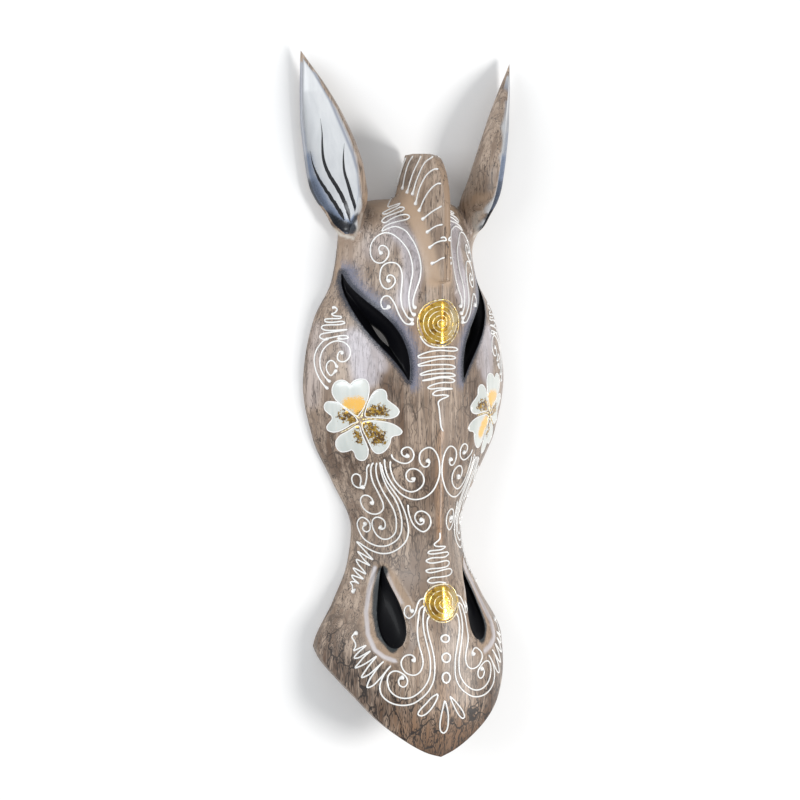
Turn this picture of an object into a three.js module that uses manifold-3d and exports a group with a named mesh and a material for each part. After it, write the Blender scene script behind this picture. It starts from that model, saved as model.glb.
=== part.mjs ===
// Animal-head wall mask, carved from one block of light wood and hollowed from the back.
// Millimetres. It lies on its back: x runs across the face, y from the chin to the ear tips,
// z up out of the face. The origin is under its middle, on the surface that it lies on.

import * as THREE from 'three';
import { mergeVertices } from 'three/addons/utils/BufferGeometryUtils.js';
import Module from 'manifold-3d';

const wasm = await Module();
wasm.setup();

// Overall sizes
const length = 500;          // ear tips to chin
const cheekWidth = 162.4;    // widest place of the face
const headDepth = 63;        // back to the ridge of the muzzle

// Walls
const edge = 4;              // upright edge all round the outline
const jawEdge = 8;           // the same at the corners of the jaw
const rimWidth = 10;         // flat band on the back that the mask lies on
const wall = 10;             // wood left behind the face
const muzzleWall = 20;       // wood left behind the nostrils
const lipSet = 6;            // how far the open bottom edge leans in under the face

// Crest
const crestStep = 8;         // how far its foot stands off the ridge
const crestEdge = 5;         // width of its front and top edge
const crestFlare = 0.54;     // width gained for each millimetre below the edge
const crestBack = 8;         // how far its back stays clear of the wall
const crestTop = 0.362;      // its top, as a share of the length from the middle
const crestFoot = 0.185;

// Ears
const earWidth = 44;         // widest, from edge to edge of the opening
const earFlare = 31.4;       // how far they spread past the neck on each side
const earTurn = 56;          // degrees that the opening is turned outwards
const earRim = 2.2;          // edge of the opening
const earWall = 8;           // wood left behind the opening

// Openings of the face
const eyeWidth = 14.4;
const eyeSlit = 0.5;         // share of the eye's width that goes right through
const nostrilWidth = 17.2;
const nostrilDepth = 12;
const scoopWidth = 31;       // hollow around the nostril
const scoopDepth = 5;

// Carving of the forehead
const grooveDepth = 5;       // hollow along each side of the crest
const padRise = 3;           // swelling beside it

// Nail hole in the back of the crown
const nailHole = 7;
const nailDepth = 10;
const nailAt = 0.27;         // share of the length from the middle

// Facets
const columns = 30;
const rows = 44;

// Smooth curve through points, with no overshoot between them
function curveThrough(points) {
  const x = points.map((p) => p[0]);
  const y = points.map((p) => p[1]);
  const last = x.length - 1;
  const slope = x.slice(1).map((value, i) => (y[i + 1] - y[i]) / (value - x[i]));
  const tangent = x.map((_, i) => {
    if (i === 0) return slope[0];
    if (i === last) return slope[last - 1];
    if (slope[i - 1] * slope[i] <= 0) return 0;
    return (2 * slope[i - 1] * slope[i]) / (slope[i - 1] + slope[i]);
  });
  return (at) => {
    if (at <= x[0]) return y[0];
    if (at >= x[last]) return y[last];
    const i = x.findIndex((value) => value > at) - 1;
    const span = x[i + 1] - x[i];
    const t = (at - x[i]) / span;
    return y[i] * (1 + 2 * t) * (1 - t) ** 2 + tangent[i] * span * t * (1 - t) ** 2
      + y[i + 1] * t * t * (3 - 2 * t) + tangent[i + 1] * span * t * t * (t - 1);
  };
}

const mix = (a, b, t) => a + (b - a) * t;
const smoothStep = (from, to, at) => {
  const t = Math.min(1, Math.max(0, (at - from) / (to - from)));
  return t * t * (3 - 2 * t);
};

// Cross-sections of the head from chin to crown: place along the length, half width and
// ridge height as shares of the overall sizes, share of the fall that is straight from the
// ridge, and power of the rounding towards the rim
const stations = [
  { at: -0.500, half: 0.985, ridge: 0.889, flank: 0.10, round: 3.6 },
  { at: -0.420, half: 0.965, ridge: 0.984, flank: 0.10, round: 3.6 },
  { at: -0.344, half: 0.926, ridge: 1.000, flank: 0.10, round: 3.6 },
  { at: -0.280, half: 0.727, ridge: 0.968, flank: 0.25, round: 3.0 },
  { at: -0.224, half: 0.581, ridge: 0.929, flank: 0.48, round: 2.3 },
  { at: -0.176, half: 0.542, ridge: 0.897, flank: 0.45, round: 2.1 },
  { at: -0.102, half: 0.732, ridge: 0.905, flank: 0.42, round: 2.4 },
  { at: -0.042, half: 0.908, ridge: 0.921, flank: 0.40, round: 2.8 },
  { at: 0.036, half: 1.000, ridge: 0.929, flank: 0.45, round: 3.2 },
  { at: 0.074, half: 0.979, ridge: 0.937, flank: 0.48, round: 3.1 },
  { at: 0.130, half: 0.892, ridge: 0.944, flank: 0.50, round: 3.0 },
  { at: 0.186, half: 0.714, ridge: 0.960, flank: 0.47, round: 2.9 },
  { at: 0.236, half: 0.658, ridge: 0.921, flank: 0.45, round: 2.75 },
  { at: 0.314, half: 0.616, ridge: 0.921, flank: 0.45, round: 2.75 },
];
const along = (key, scale) => curveThrough(stations.map((s) => [s.at * length, s[key] * scale]));
const halfWidth = along('half', cheekWidth / 2);
const ridge = along('ridge', headDepth);
const flank = along('flank', 1);
const rounding = along('round', 1);

// Bottom outline: how far it has risen from the chin to the corner of the jaw, across the face
const jawCorner = -0.344 * length;
const chinRise = curveThrough([
  [0, 0], [0.136, 0.05], [0.40, 0.222], [0.603, 0.40], [0.745, 0.577], [0.868, 0.743],
  [0.965, 0.90], [1, 1],
]);
const bottomEdge = (side) => mix(-length / 2, jawCorner, chinRise(Math.abs(side)));

// Crown: the face rounds over to the back between the ears
const crownStart = 0.2 * length;
const crownShoulder = 0.25 * length;
const crownTop = 0.302 * length;
const topEdge = (side) => mix(crownShoulder, crownTop, Math.sqrt(1 - side ** 4));
const roundOver = (y, from, to) => Math.sqrt(1 - Math.min(1, Math.max(0, (y - from) / (to - from))) ** 2);

// Upright edge, which deepens at the corners of the jaw
const edgeAt = curveThrough([[-0.5 * length, edge], [-0.344 * length, jawEdge], [-0.2 * length, edge]]);

const profile = (side, y) => 1 - flank(y) * side - (1 - flank(y)) * side ** rounding(y);

// Height of the carved face over a point of the plan
const grooveAt = 0.027 * length;
const grooveHalf = 0.009 * length;
const padPlace = { x: 0.054 * length, y: 0.176 * length, across: 0.028 * length, up: 0.06 * length };
function faceHeight(x, y) {
  const side = Math.min(1, Math.abs(x) / halfWidth(y));
  const crown = roundOver(y, crownStart, topEdge(side));
  const groove = grooveDepth * smoothStep(0.12 * length, 0.2 * length, y)
    * Math.exp(-(((Math.abs(x) - grooveAt) / grooveHalf) ** 2));
  const pad = padRise * Math.exp(-(((Math.abs(x) - padPlace.x) / padPlace.across) ** 2)
    - (((y - padPlace.y) / padPlace.up) ** 2));
  const awayFromEdge = Math.min(1, (1 - side) * 6);
  const rim = edgeAt(y);
  return rim + (ridge(y) - rim) * profile(side, y) * crown + (pad - groove) * crown * awayFromEdge;
}

// Places of the plan are given as a side from -1 to 1 and a height from bottom to top edge
function facePoint(side, up) {
  const y = mix(bottomEdge(side), topEdge(side), up);
  const x = side * halfWidth(y);
  return [x, y, faceHeight(x, y)];
}

// The hollow follows the face, thicker behind the nostrils, and ends below the crown
const hollowTop = 0.236 * length;
const hollowShoulder = 0.2 * length;
const hollowStart = 0.15 * length;
const wallAt = curveThrough([
  [-0.5 * length, wall], [-0.42 * length, wall], [-0.31 * length, muzzleWall],
  [-0.24 * length, muzzleWall], [-0.17 * length, wall],
]);
function hollowPoint(side, up) {
  const top = mix(hollowShoulder, hollowTop, Math.sqrt(1 - side ** 4));
  const y = mix(bottomEdge(side) + lipSet, top, up);
  const x = side * (halfWidth(y) - rimWidth);
  const z = (ridge(y) - wallAt(y)) * profile(Math.abs(side), y) * roundOver(y, hollowStart, top);
  return [x, y, Math.max(0, z)];
}

// Closed solid from a list of corners and triangles
function solidOf(corners, triangles) {
  const geometry = new THREE.BufferGeometry();
  geometry.setAttribute('position', new THREE.Float32BufferAttribute(corners.flat(), 3));
  geometry.setIndex(triangles.flat());
  return solidFrom(geometry);
}

function solidFrom(geometry) {
  geometry.deleteAttribute('normal');
  geometry.deleteAttribute('uv');
  const merged = mergeVertices(geometry, 1e-4);
  const mesh = new wasm.Mesh({
    numProp: 3,
    vertProperties: new Float32Array(merged.attributes.position.array),
    triVerts: new Uint32Array(merged.index.array),
  });
  return new wasm.Manifold(mesh);
}

// Rows and columns of points over the plan, with the border of the sheet as a loop
function sheet(corners, point) {
  const grid = [];
  for (let j = 0; j <= rows; j += 1) {
    grid.push([]);
    for (let i = 0; i <= columns; i += 1) {
      const side = -Math.cos((Math.PI * mix(0.12, 0.88, i / columns))) / Math.cos(Math.PI * 0.12);
      grid[j].push(corners.push(point(side, j / rows)) - 1);
    }
  }
  const loop = [
    ...grid[0].slice(0, -1), ...grid.slice(0, -1).map((row) => row[columns]),
    ...grid[rows].slice(1).reverse(), ...grid.slice(1).map((row) => row[0]).reverse(),
  ];
  return { grid, loop };
}

function sheetTriangles(grid, facingUp) {
  const triangles = [];
  for (let j = 0; j < rows; j += 1) {
    for (let i = 0; i < columns; i += 1) {
      const [a, b, c, d] = [grid[j][i], grid[j][i + 1], grid[j + 1][i + 1], grid[j + 1][i]];
      const pair = i < columns / 2 ? [[a, b, c], [a, c, d]] : [[a, b, d], [b, c, d]];
      triangles.push(...pair.map((t) => (facingUp ? t : t.reverse())));
    }
  }
  return triangles;
}

function strip(upper, lower) {
  return upper.flatMap((_, i) => {
    const next = (i + 1) % upper.length;
    return [[lower[i], lower[next], upper[next]], [lower[i], upper[next], upper[i]]];
  });
}

// The head: face, upright edge, rim band and hollow
function makeHead() {
  const corners = [];
  const face = sheet(corners, facePoint);
  const hollow = sheet(corners, hollowPoint);
  const foot = face.loop.map((k) => {
    const [x, y, z] = corners[k];
    return corners.push([x, y, Math.max(0, z - edgeAt(y))]) - 1;
  });
  return solidOf(corners, [
    ...sheetTriangles(face.grid, true), ...sheetTriangles(hollow.grid, false),
    ...strip(face.loop, foot), ...strip(foot, hollow.loop),
  ]);
}

// What the gouge takes out of the back, kept to trim the crest and ears where they root
function makeHollow() {
  const corners = [];
  const top = sheet(corners, hollowPoint);
  const floor = sheet(corners, (side, up) => [...hollowPoint(side, up).slice(0, 2), -edge]);
  return solidOf(corners, [
    ...sheetTriangles(top.grid, true), ...sheetTriangles(floor.grid, false),
    ...strip(top.loop, floor.loop),
  ]);
}

// Closed skin over rings of equal count, with a point at each end
function skin(rings, start, end) {
  const corners = [...rings.flat(), start, end];
  const count = rings[0].length;
  const first = corners.length - 2;
  const last = corners.length - 1;
  const at = (ring, k) => ring * count + (k % count);
  const triangles = [];
  for (let k = 0; k < count; k += 1) {
    triangles.push([first, at(0, k + 1), at(0, k)]);
    triangles.push([last, at(rings.length - 1, k), at(rings.length - 1, k + 1)]);
    for (let r = 0; r + 1 < rings.length; r += 1) {
      triangles.push([at(r, k), at(r, k + 1), at(r + 1, k + 1)], [at(r, k), at(r + 1, k + 1), at(r + 1, k)]);
    }
  }
  const solid = solidOf(corners, triangles);
  return solid.volume() < 0 ? solidOf(corners, triangles.map((t) => t.reverse())) : solid;
}

// The crest: a fin that is thin along its front and top edge and thickens towards its root
function makeCrest() {
  const footY = crestFoot * length;
  const topY = crestTop * length;
  const front = ridge(footY) + crestStep;
  const root = { y: mix(footY, topY, 0.28), z: edge };
  const outline = [
    [footY, -front / 2], [footY, front / 3], [footY, front * 0.8], [footY, front],
    [mix(footY, topY, 0.33), front], [mix(footY, topY, 0.62), front],
    [mix(footY, topY, 0.79), front * 0.96], [mix(footY, topY, 0.93), front * 0.855],
    [topY, front * 0.745], [topY * 1.01, front * 0.55], [topY * 1.012, front * 0.3],
    [topY * 1.005, 0], [topY, -front / 2],
  ];
  const ring = (x) => outline.map(([y, z]) => [x, y, z]);
  const reach = crestEdge / 2 + (crestFlare / 2) * (front - root.z);
  return skin([ring(crestEdge / 2), ring(-crestEdge / 2)], [reach, root.y, root.z], [-reach, root.y, root.z])
    .trimByPlane([0, 0, 1], crestBack);
}

// Ear sections from root to tip: place as a share of the ear's length, spread past the neck,
// height of the outer edge over the back, chord across the opening, and swell of the back of
// the ear as a share of the chord
const earRoot = 0.236 * length;
const earStations = [
  { at: -0.10, spread: -0.25, rise: 3, chord: 0.24, swell: 0.50 },
  { at: 0.00, spread: -0.10, rise: 4, chord: 0.30, swell: 0.90 },
  { at: 0.045, spread: 0.02, rise: 7.5, chord: 0.31, swell: 0.90 },
  { at: 0.09, spread: 0.24, rise: 10, chord: 0.42, swell: 0.90 },
  { at: 0.16, spread: 0.42, rise: 10.5, chord: 0.58, swell: 0.85 },
  { at: 0.24, spread: 0.66, rise: 8.5, chord: 0.85, swell: 0.70 },
  { at: 0.30, spread: 0.775, rise: 7.2, chord: 0.965, swell: 0.60 },
  { at: 0.40, spread: 0.863, rise: 6.8, chord: 1.00, swell: 0.52 },
  { at: 0.515, spread: 0.93, rise: 6.8, chord: 0.94, swell: 0.48 },
  { at: 0.66, spread: 0.987, rise: 6.8, chord: 0.765, swell: 0.46 },
  { at: 0.82, spread: 1.00, rise: 7.5, chord: 0.455, swell: 0.45 },
  { at: 0.955, spread: 0.99, rise: 8.0, chord: 0.12, swell: 0.45 },
];
const neckHalf = halfWidth(earRoot);
const earTip = [neckHalf + 0.98 * earFlare, length / 2, 8.1];
const chordWay = [Math.cos(THREE.MathUtils.degToRad(earTurn)), Math.sin(THREE.MathUtils.degToRad(earTurn))];

// A place on an ear section: across from outer edge (-1) to inner edge (1), and depth behind
// the opening
function earPlace(station, across, depth) {
  const half = (station.chord * earWidth) / 2;
  const outer = neckHalf + station.spread * earFlare;
  const y = mix(earRoot, length / 2, station.at);
  const step = half * (1 + across);
  return [
    outer - step * chordWay[0] - depth * chordWay[1], y,
    station.rise + step * chordWay[1] - depth * chordWay[0],
  ];
}

function makeEar(handed) {
  const turned = (p) => [p[0] * handed, p[1], p[2]];
  const backArc = 12;
  const rings = earStations.map((station) => {
    const swell = station.swell * station.chord * earWidth;
    const ring = [];
    for (let k = 0; k <= backArc; k += 1) {
      const turn = (Math.PI * k) / backArc;
      ring.push(turned(earPlace(station, -Math.cos(turn), swell * Math.sin(turn))));
    }
    ring.push(turned(earPlace(station, 0.5, 0)), turned(earPlace(station, -0.5, 0)));
    return ring;
  });
  const rootCentre = turned(earPlace({ ...earStations[0], at: -0.14 }, 0, 3));
  return skin(rings, rootCentre, turned(earTip)).trimByPlane([0, 0, 1], 0);
}

// The opening of an ear: a leaf-shaped dish that leaves the rim
function makeEarOpening(handed) {
  const turned = (p) => [p[0] * handed, p[1], p[2]];
  const open = earStations.filter((station) => station.at > 0.08 && station.at < 0.9);
  const dishArc = 8;
  const rings = open.map((station, i) => {
    const half = (station.chord * earWidth) / 2;
    const share = i === 0 ? 0.5 : (half - earRim) / half;
    const depth = Math.max(earRim, station.swell * half * 2 - earWall);
    const ring = [];
    for (let k = 0; k <= dishArc; k += 1) {
      const turn = (Math.PI * k) / dishArc;
      ring.push(turned(earPlace(station, -Math.cos(turn) * share, depth * share * Math.sin(turn) ** 0.8)));
    }
    ring.push(turned(earPlace(station, share, -earWidth)), turned(earPlace(station, -share, -earWidth)));
    return ring;
  });
  const start = { ...open[0], at: 0.055 };
  const end = { ...earStations[earStations.length - 1], at: 0.965 };
  return skin(rings, turned(earPlace(start, 0, -earRim)), turned(earPlace(end, 0, -earRim)));
}

// Cutter with its rings laid on the face: each ring is a share of the outline about its
// middle, sunk below the face
function sunkCutter(outline, middle, levels, handed) {
  const place = ([x, y], share, sink) => {
    const px = mix(middle[0], x, share);
    const py = mix(middle[1], y, share);
    return [px * handed, py, faceHeight(px, py) - sink];
  };
  const rings = levels.map(({ share, sink }) => outline.map((p) => place(p, share, sink)));
  const floor = levels[levels.length - 1].sink;
  return skin(rings, place(middle, 1, levels[0].sink), place(middle, 1, floor));
}

// Drop-shaped outline with its point up, leaning towards the ridge
const dropLean = 0.045;
function dropOutline(middle, halfLength, width, count) {
  const widest = 0.77;
  return Array.from({ length: count }, (_, k) => {
    const turn = (2 * Math.PI * (k + 0.5)) / count;
    const across = (width / 2 / widest) * Math.sin(turn) * Math.abs(Math.sin(turn / 2));
    const up = halfLength * Math.cos(turn);
    return [middle[0] + across - dropLean * up, middle[1] + up];
  });
}

// The eye: a leaf along an S-shaped line, with a slit through the wall in its middle
function makeEye(handed) {
  const way = new THREE.CubicBezierCurve(
    new THREE.Vector2(0.108 * length, 0.198 * length), new THREE.Vector2(0.11 * length, 0.132 * length),
    new THREE.Vector2(0.056 * length, 0.116 * length), new THREE.Vector2(0.044 * length, 0.044 * length),
  );
  const half = 9;
  const ring = (from, to, width, sink) => {
    const sideLine = (sign) => Array.from({ length: half }, (_, k) => {
      const t = (k + 0.5) / half;
      const p = way.getPoint(mix(from, to, t));
      const tangent = way.getTangent(mix(from, to, t));
      const out = sign * (width / 2) * Math.sin(Math.PI * t) ** 0.8;
      return [p.x - tangent.y * out, p.y + tangent.x * out];
    });
    const outline = [...sideLine(1), ...sideLine(-1).reverse()];
    return outline.map(([x, y]) => [x * handed, y, sink === null ? -edge : faceHeight(x, y) - sink]);
  };
  const middle = way.getPoint(0.52);
  const slit = [0.27, 0.8, eyeWidth * eyeSlit];
  return skin([
    ring(0, 1, eyeWidth, -wall), ring(0, 1, eyeWidth, 0.5), ring(...slit, wall * 0.9), ring(...slit, null),
  ], [middle.x * handed, middle.y, faceHeight(middle.x, middle.y) + wall], [middle.x * handed, middle.y, -edge]);
}

// The nostril: a drop-shaped hole in a wider drop-shaped scoop
function makeScoop(handed) {
  const middle = [0.0685 * length, -0.287 * length];
  const outline = dropOutline(middle, 0.069 * length, scoopWidth, 22);
  return sunkCutter(outline, middle, [
    { share: 1, sink: -wall }, { share: 1, sink: 0 }, { share: 0.88, sink: scoopDepth * 0.7 },
    { share: 0.65, sink: scoopDepth },
  ], handed);
}

function makeNostril(handed) {
  const middle = [0.0665 * length, -0.279 * length];
  const outline = dropOutline(middle, 0.058 * length, nostrilWidth, 16);
  return sunkCutter(outline, middle, [
    { share: 1, sink: -wall }, { share: 1, sink: scoopDepth * 0.8 }, { share: 0.8, sink: nostrilDepth * 0.8 },
    { share: 0.5, sink: nostrilDepth },
  ], handed);
}

// The nail hole in the back of the crown
function makeNailHole() {
  const cylinder = new THREE.CylinderGeometry(nailHole / 2, nailHole / 2, 2 * nailDepth, 16);
  cylinder.rotateX(Math.PI / 2);
  cylinder.translate(0, nailAt * length, 0);
  return solidFrom(cylinder);
}

// Joined and cut as one block
const bothSides = (make) => [make(1), make(-1)];
const hollow = makeHollow();
let mask = makeHead();
const grown = bothSides(makeEar).map((ear, i) => ear.subtract(makeEarOpening(i === 0 ? 1 : -1)));
for (const limb of [makeCrest(), ...grown]) mask = mask.add(limb.subtract(hollow));
for (const make of [makeEye, makeScoop, makeNostril]) {
  for (const cut of bothSides(make)) mask = mask.subtract(cut);
}
mask = mask.subtract(makeNailHole());

function meshFrom(solid, name, material) {
  const { vertProperties, triVerts } = solid.getMesh();
  const geometry = new THREE.BufferGeometry();
  geometry.setAttribute('position', new THREE.BufferAttribute(vertProperties, 3));
  geometry.setIndex(new THREE.BufferAttribute(triVerts, 1));
  geometry.computeVertexNormals();
  const mesh = new THREE.Mesh(geometry, material);
  mesh.name = name;
  return mesh;
}

const paintedWood = new THREE.MeshStandardMaterial({
  color: new THREE.Color().setRGB(0.65, 0.57, 0.5, THREE.SRGBColorSpace),
  roughness: 0.35,
  metalness: 0,
  flatShading: true,
});

const model = new THREE.Group();
model.add(meshFrom(mask, 'mask', paintedWood));

export default model;
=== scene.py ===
import math
from bisect import bisect_right

import bmesh
import bpy
from mathutils import Matrix, Vector
from mathutils.bvhtree import BVHTree
from mathutils.kdtree import KDTree


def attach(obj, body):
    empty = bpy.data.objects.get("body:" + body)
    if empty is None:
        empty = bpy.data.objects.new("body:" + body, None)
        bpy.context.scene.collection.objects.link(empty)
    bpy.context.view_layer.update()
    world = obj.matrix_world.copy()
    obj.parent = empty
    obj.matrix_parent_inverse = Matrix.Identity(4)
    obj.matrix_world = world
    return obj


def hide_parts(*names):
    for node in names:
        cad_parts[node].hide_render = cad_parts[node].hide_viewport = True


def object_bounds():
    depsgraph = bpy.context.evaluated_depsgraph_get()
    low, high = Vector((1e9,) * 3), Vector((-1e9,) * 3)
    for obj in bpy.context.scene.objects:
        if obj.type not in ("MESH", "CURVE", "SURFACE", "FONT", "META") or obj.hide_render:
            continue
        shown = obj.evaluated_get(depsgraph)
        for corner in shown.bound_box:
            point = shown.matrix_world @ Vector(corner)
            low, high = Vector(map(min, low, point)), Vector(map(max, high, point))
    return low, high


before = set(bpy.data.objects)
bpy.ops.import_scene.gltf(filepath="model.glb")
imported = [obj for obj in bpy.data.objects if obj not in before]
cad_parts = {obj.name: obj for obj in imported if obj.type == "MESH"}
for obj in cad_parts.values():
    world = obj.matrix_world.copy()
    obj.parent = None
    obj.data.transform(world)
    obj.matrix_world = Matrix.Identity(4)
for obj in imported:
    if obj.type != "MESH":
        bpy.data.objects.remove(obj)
cad_low, cad_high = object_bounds()


# The camera looks down on the lying mask as the photograph looks at it hung up: from the left
# and a little above. A pixel of the photograph can be followed back along its ray.
length = cad_high.y - cad_low.y
mm = length / 500
view_turn = math.radians(26.57)
view_drop = math.radians(5.12)
view_roll = math.radians(-0.3)
view_distance = 1576 * mm
focal_pixels = 2138
frame_pixels = 800
axis_pixel = (400, 405)
sensor_width = 36

view_forward = Vector((
    math.sin(view_turn) * math.cos(view_drop), -math.sin(view_drop),
    -math.cos(view_turn) * math.cos(view_drop),
))
level_right = Vector((math.cos(view_turn), 0, math.sin(view_turn)))
level_up = level_right.cross(view_forward)
view_right = level_right * math.cos(view_roll) + level_up * math.sin(view_roll)
view_up = level_up * math.cos(view_roll) - level_right * math.sin(view_roll)
view_place = Vector((0, 0, -7 * mm)) - view_forward * view_distance

camera = bpy.data.objects.new("camera", bpy.data.cameras.new("camera"))
bpy.context.scene.collection.objects.link(camera)
camera.matrix_world = Matrix.Translation(view_place) @ Matrix(
    (view_right, view_up, -view_forward)
).transposed().to_4x4()
camera.data.sensor_width = sensor_width
camera.data.lens = focal_pixels / frame_pixels * sensor_width
camera.data.shift_y = (axis_pixel[1] - frame_pixels / 2) / frame_pixels
camera.data.clip_end = 20
bpy.context.scene.camera = camera


def pixel_ray(px, py):
    return (
        view_forward * focal_pixels + view_right * (px - axis_pixel[0]) - view_up * (py - axis_pixel[1])
    ).normalized()


# The head is carved from one block of light wood. Its cross-sections from chin to crown give the
# width, the height of the ridge, how straight the flanks fall and how round they turn to the rim.
cheek_width = 162.4
head_depth = 63
edge = 4
jaw_edge = 8
stations = [
    (-0.500, 0.985, 0.889, 0.10, 3.6),
    (-0.420, 0.965, 0.984, 0.10, 3.6),
    (-0.344, 0.926, 1.000, 0.10, 3.6),
    (-0.280, 0.727, 0.968, 0.25, 3.0),
    (-0.224, 0.581, 0.929, 0.48, 2.3),
    (-0.176, 0.542, 0.897, 0.45, 2.1),
    (-0.102, 0.732, 0.905, 0.42, 2.4),
    (-0.042, 0.908, 0.921, 0.40, 2.8),
    (0.036, 1.000, 0.929, 0.45, 3.2),
    (0.074, 0.979, 0.937, 0.48, 3.1),
    (0.130, 0.892, 0.944, 0.50, 3.0),
    (0.186, 0.714, 0.960, 0.47, 2.9),
    (0.236, 0.658, 0.921, 0.45, 2.75),
    (0.314, 0.616, 0.921, 0.45, 2.75),
]
long = length / mm


def mix(a, b, t):
    return a + (b - a) * t


def clamp(t):
    return min(1.0, max(0.0, t))


def smooth_step(start, end, at):
    t = clamp((at - start) / (end - start))
    return t * t * (3 - 2 * t)


def curve_through(points):
    """Smooth curve through points, with no overshoot between them."""
    x = [p[0] for p in points]
    y = [p[1] for p in points]
    slope = [(y[i + 1] - y[i]) / (x[i + 1] - x[i]) for i in range(len(x) - 1)]
    tangent = [slope[0]]
    for before, after in zip(slope, slope[1:]):
        tangent.append(2 * before * after / (before + after) if before * after > 0 else 0.0)
    tangent.append(slope[-1])

    def value(at):
        if at <= x[0]:
            return y[0]
        if at >= x[-1]:
            return y[-1]
        i = bisect_right(x, at) - 1
        span = x[i + 1] - x[i]
        t = (at - x[i]) / span
        return (
            y[i] * (1 + 2 * t) * (1 - t) ** 2 + tangent[i] * span * t * (1 - t) ** 2
            + y[i + 1] * t * t * (3 - 2 * t) + tangent[i + 1] * span * t * t * (t - 1)
        )

    return value


half_width = curve_through([(s[0] * long, s[1] * cheek_width / 2) for s in stations])
ridge = curve_through([(s[0] * long, s[2] * head_depth) for s in stations])
flank = curve_through([(s[0] * long, s[3]) for s in stations])
rounding = curve_through([(s[0] * long, s[4]) for s in stations])
edge_at = curve_through([(-0.5 * long, edge), (-0.344 * long, jaw_edge), (-0.2 * long, edge)])
chin_rise = curve_through([
    (0, 0), (0.136, 0.05), (0.40, 0.222), (0.603, 0.40), (0.745, 0.577), (0.868, 0.743),
    (0.965, 0.90), (1, 1),
])


def bottom_edge(side):
    return mix(-0.5 * long, -0.344 * long, chin_rise(abs(side)))


def top_edge(side):
    return mix(0.25 * long, 0.302 * long, math.sqrt(max(0, 1 - side ** 4)))


def round_over(y, start, end):
    return math.sqrt(1 - clamp((y - start) / (end - start)) ** 2)


ridge_round = 0.02


def profile(side, y):
    straight = flank(y)
    soft_side = math.sqrt(side * side + ridge_round ** 2) - ridge_round
    soft_side /= math.sqrt(1 + ridge_round ** 2) - ridge_round
    return 1 - straight * soft_side - (1 - straight) * side ** rounding(y)


def plain_height(x, y):
    """Height of the face before its hollows are carved, with the pads and grooves of the brow."""
    side = min(1.0, abs(x) / half_width(y))
    crown = round_over(y, 0.2 * long, top_edge(side))
    groove = 5 * smooth_step(0.12 * long, 0.2 * long, y)
    groove *= math.exp(-((abs(x) - 0.027 * long) / (0.009 * long)) ** 2)
    pad = 3 * math.exp(
        -((abs(x) - 0.054 * long) / (0.028 * long)) ** 2 - ((y - 0.176 * long) / (0.06 * long)) ** 2
    )
    rim = edge_at(y)
    relief = (pad - groove) * crown * min(1, (1 - side) * 6)
    return rim + (ridge(y) - rim) * profile(side, y) * crown + relief


# The nostrils are drop-shaped holes in wider drop-shaped scoops, cut with a round gouge and
# leaning towards the ridge.
drop_lean = 0.045
scoop_middle = (0.0685 * long, -0.287 * long)
scoop_long = 0.069 * long
scoop_width = 31
scoop_depth = 5
nostril_middle = (0.0665 * long, -0.279 * long)
nostril_long = 0.058 * long
nostril_width = 17.2
nostril_depth = 12
widest_part = 0.77
sharp_widest = 0.65


def drop_outline(middle, half_long, width, turn):
    across = width / 2 / sharp_widest * math.sin(turn) * abs(math.sin(turn / 2)) ** 2
    up = half_long * math.cos(turn)
    return middle[0] + across - drop_lean * up, middle[1] + up


def drop_share(middle, half_long, width, x, y):
    """0 in the middle of a drop, 1 on its outline, more outside."""
    up = y - middle[1]
    across = abs(x - middle[0] + drop_lean * up)
    inside, outside = 0.0, 3.0
    for _ in range(14):
        share = (inside + outside) / 2
        turn = math.acos(max(-1, min(1, up / (share * half_long))))
        reach = share * width / 2 / widest_part * math.sin(turn) * math.sin(turn / 2)
        if abs(up) < share * half_long and across < reach:
            outside = share
        else:
            inside = share
    return outside


scoop_sink = curve_through([(0.3, 1.0), (0.65, 0.98), (0.86, 0.7), (0.96, 0.18), (1.03, 0.0)])


def face_height(x, y):
    height = plain_height(x, y)
    if abs(y - scoop_middle[1]) < scoop_long * 1.1 and abs(abs(x) - scoop_middle[0]) < scoop_width:
        share = drop_share(scoop_middle, scoop_long, scoop_width, abs(x), y)
        height -= scoop_depth * scoop_sink(share)
    return height


def face_point(side, up):
    y = mix(bottom_edge(side), top_edge(side), up)
    x = side * half_width(y)
    return x, y, face_height(x, y)


# The back is hollowed with a gouge, in line with the face, and left thicker behind the nostrils.
# The rim around it stays flat, so that the mask lies or hangs close to a wall.
rim_width = 10
wall = 10
muzzle_wall = 20
lip_set = 6
wall_at = curve_through([
    (-0.5 * long, wall), (-0.42 * long, wall), (-0.31 * long, muzzle_wall),
    (-0.24 * long, muzzle_wall), (-0.17 * long, wall),
])


def hollow_point(side, up):
    top = mix(0.2 * long, 0.236 * long, math.sqrt(max(0, 1 - side ** 4)))
    y = mix(bottom_edge(side) + lip_set, top, up)
    x = side * (half_width(y) - rim_width)
    z = (ridge(y) - wall_at(y)) * profile(abs(side), y) * round_over(y, 0.15 * long, top)
    return x, y, max(0.0, z)


def sheet(bm, columns, rows, point):
    made = bmesh.ops.create_grid(bm, x_segments=columns, y_segments=rows, size=1)["verts"]
    for v in made:
        share = math.pi * mix(0.12, 0.88, (v.co.x + 1) / 2)
        side = -math.cos(share) / math.cos(math.pi * 0.12)
        v.co = point(max(-1, min(1, side)), (v.co.y + 1) / 2)
    return made


def open_edges(bm):
    return [e for e in bm.edges if e.is_boundary]


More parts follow.
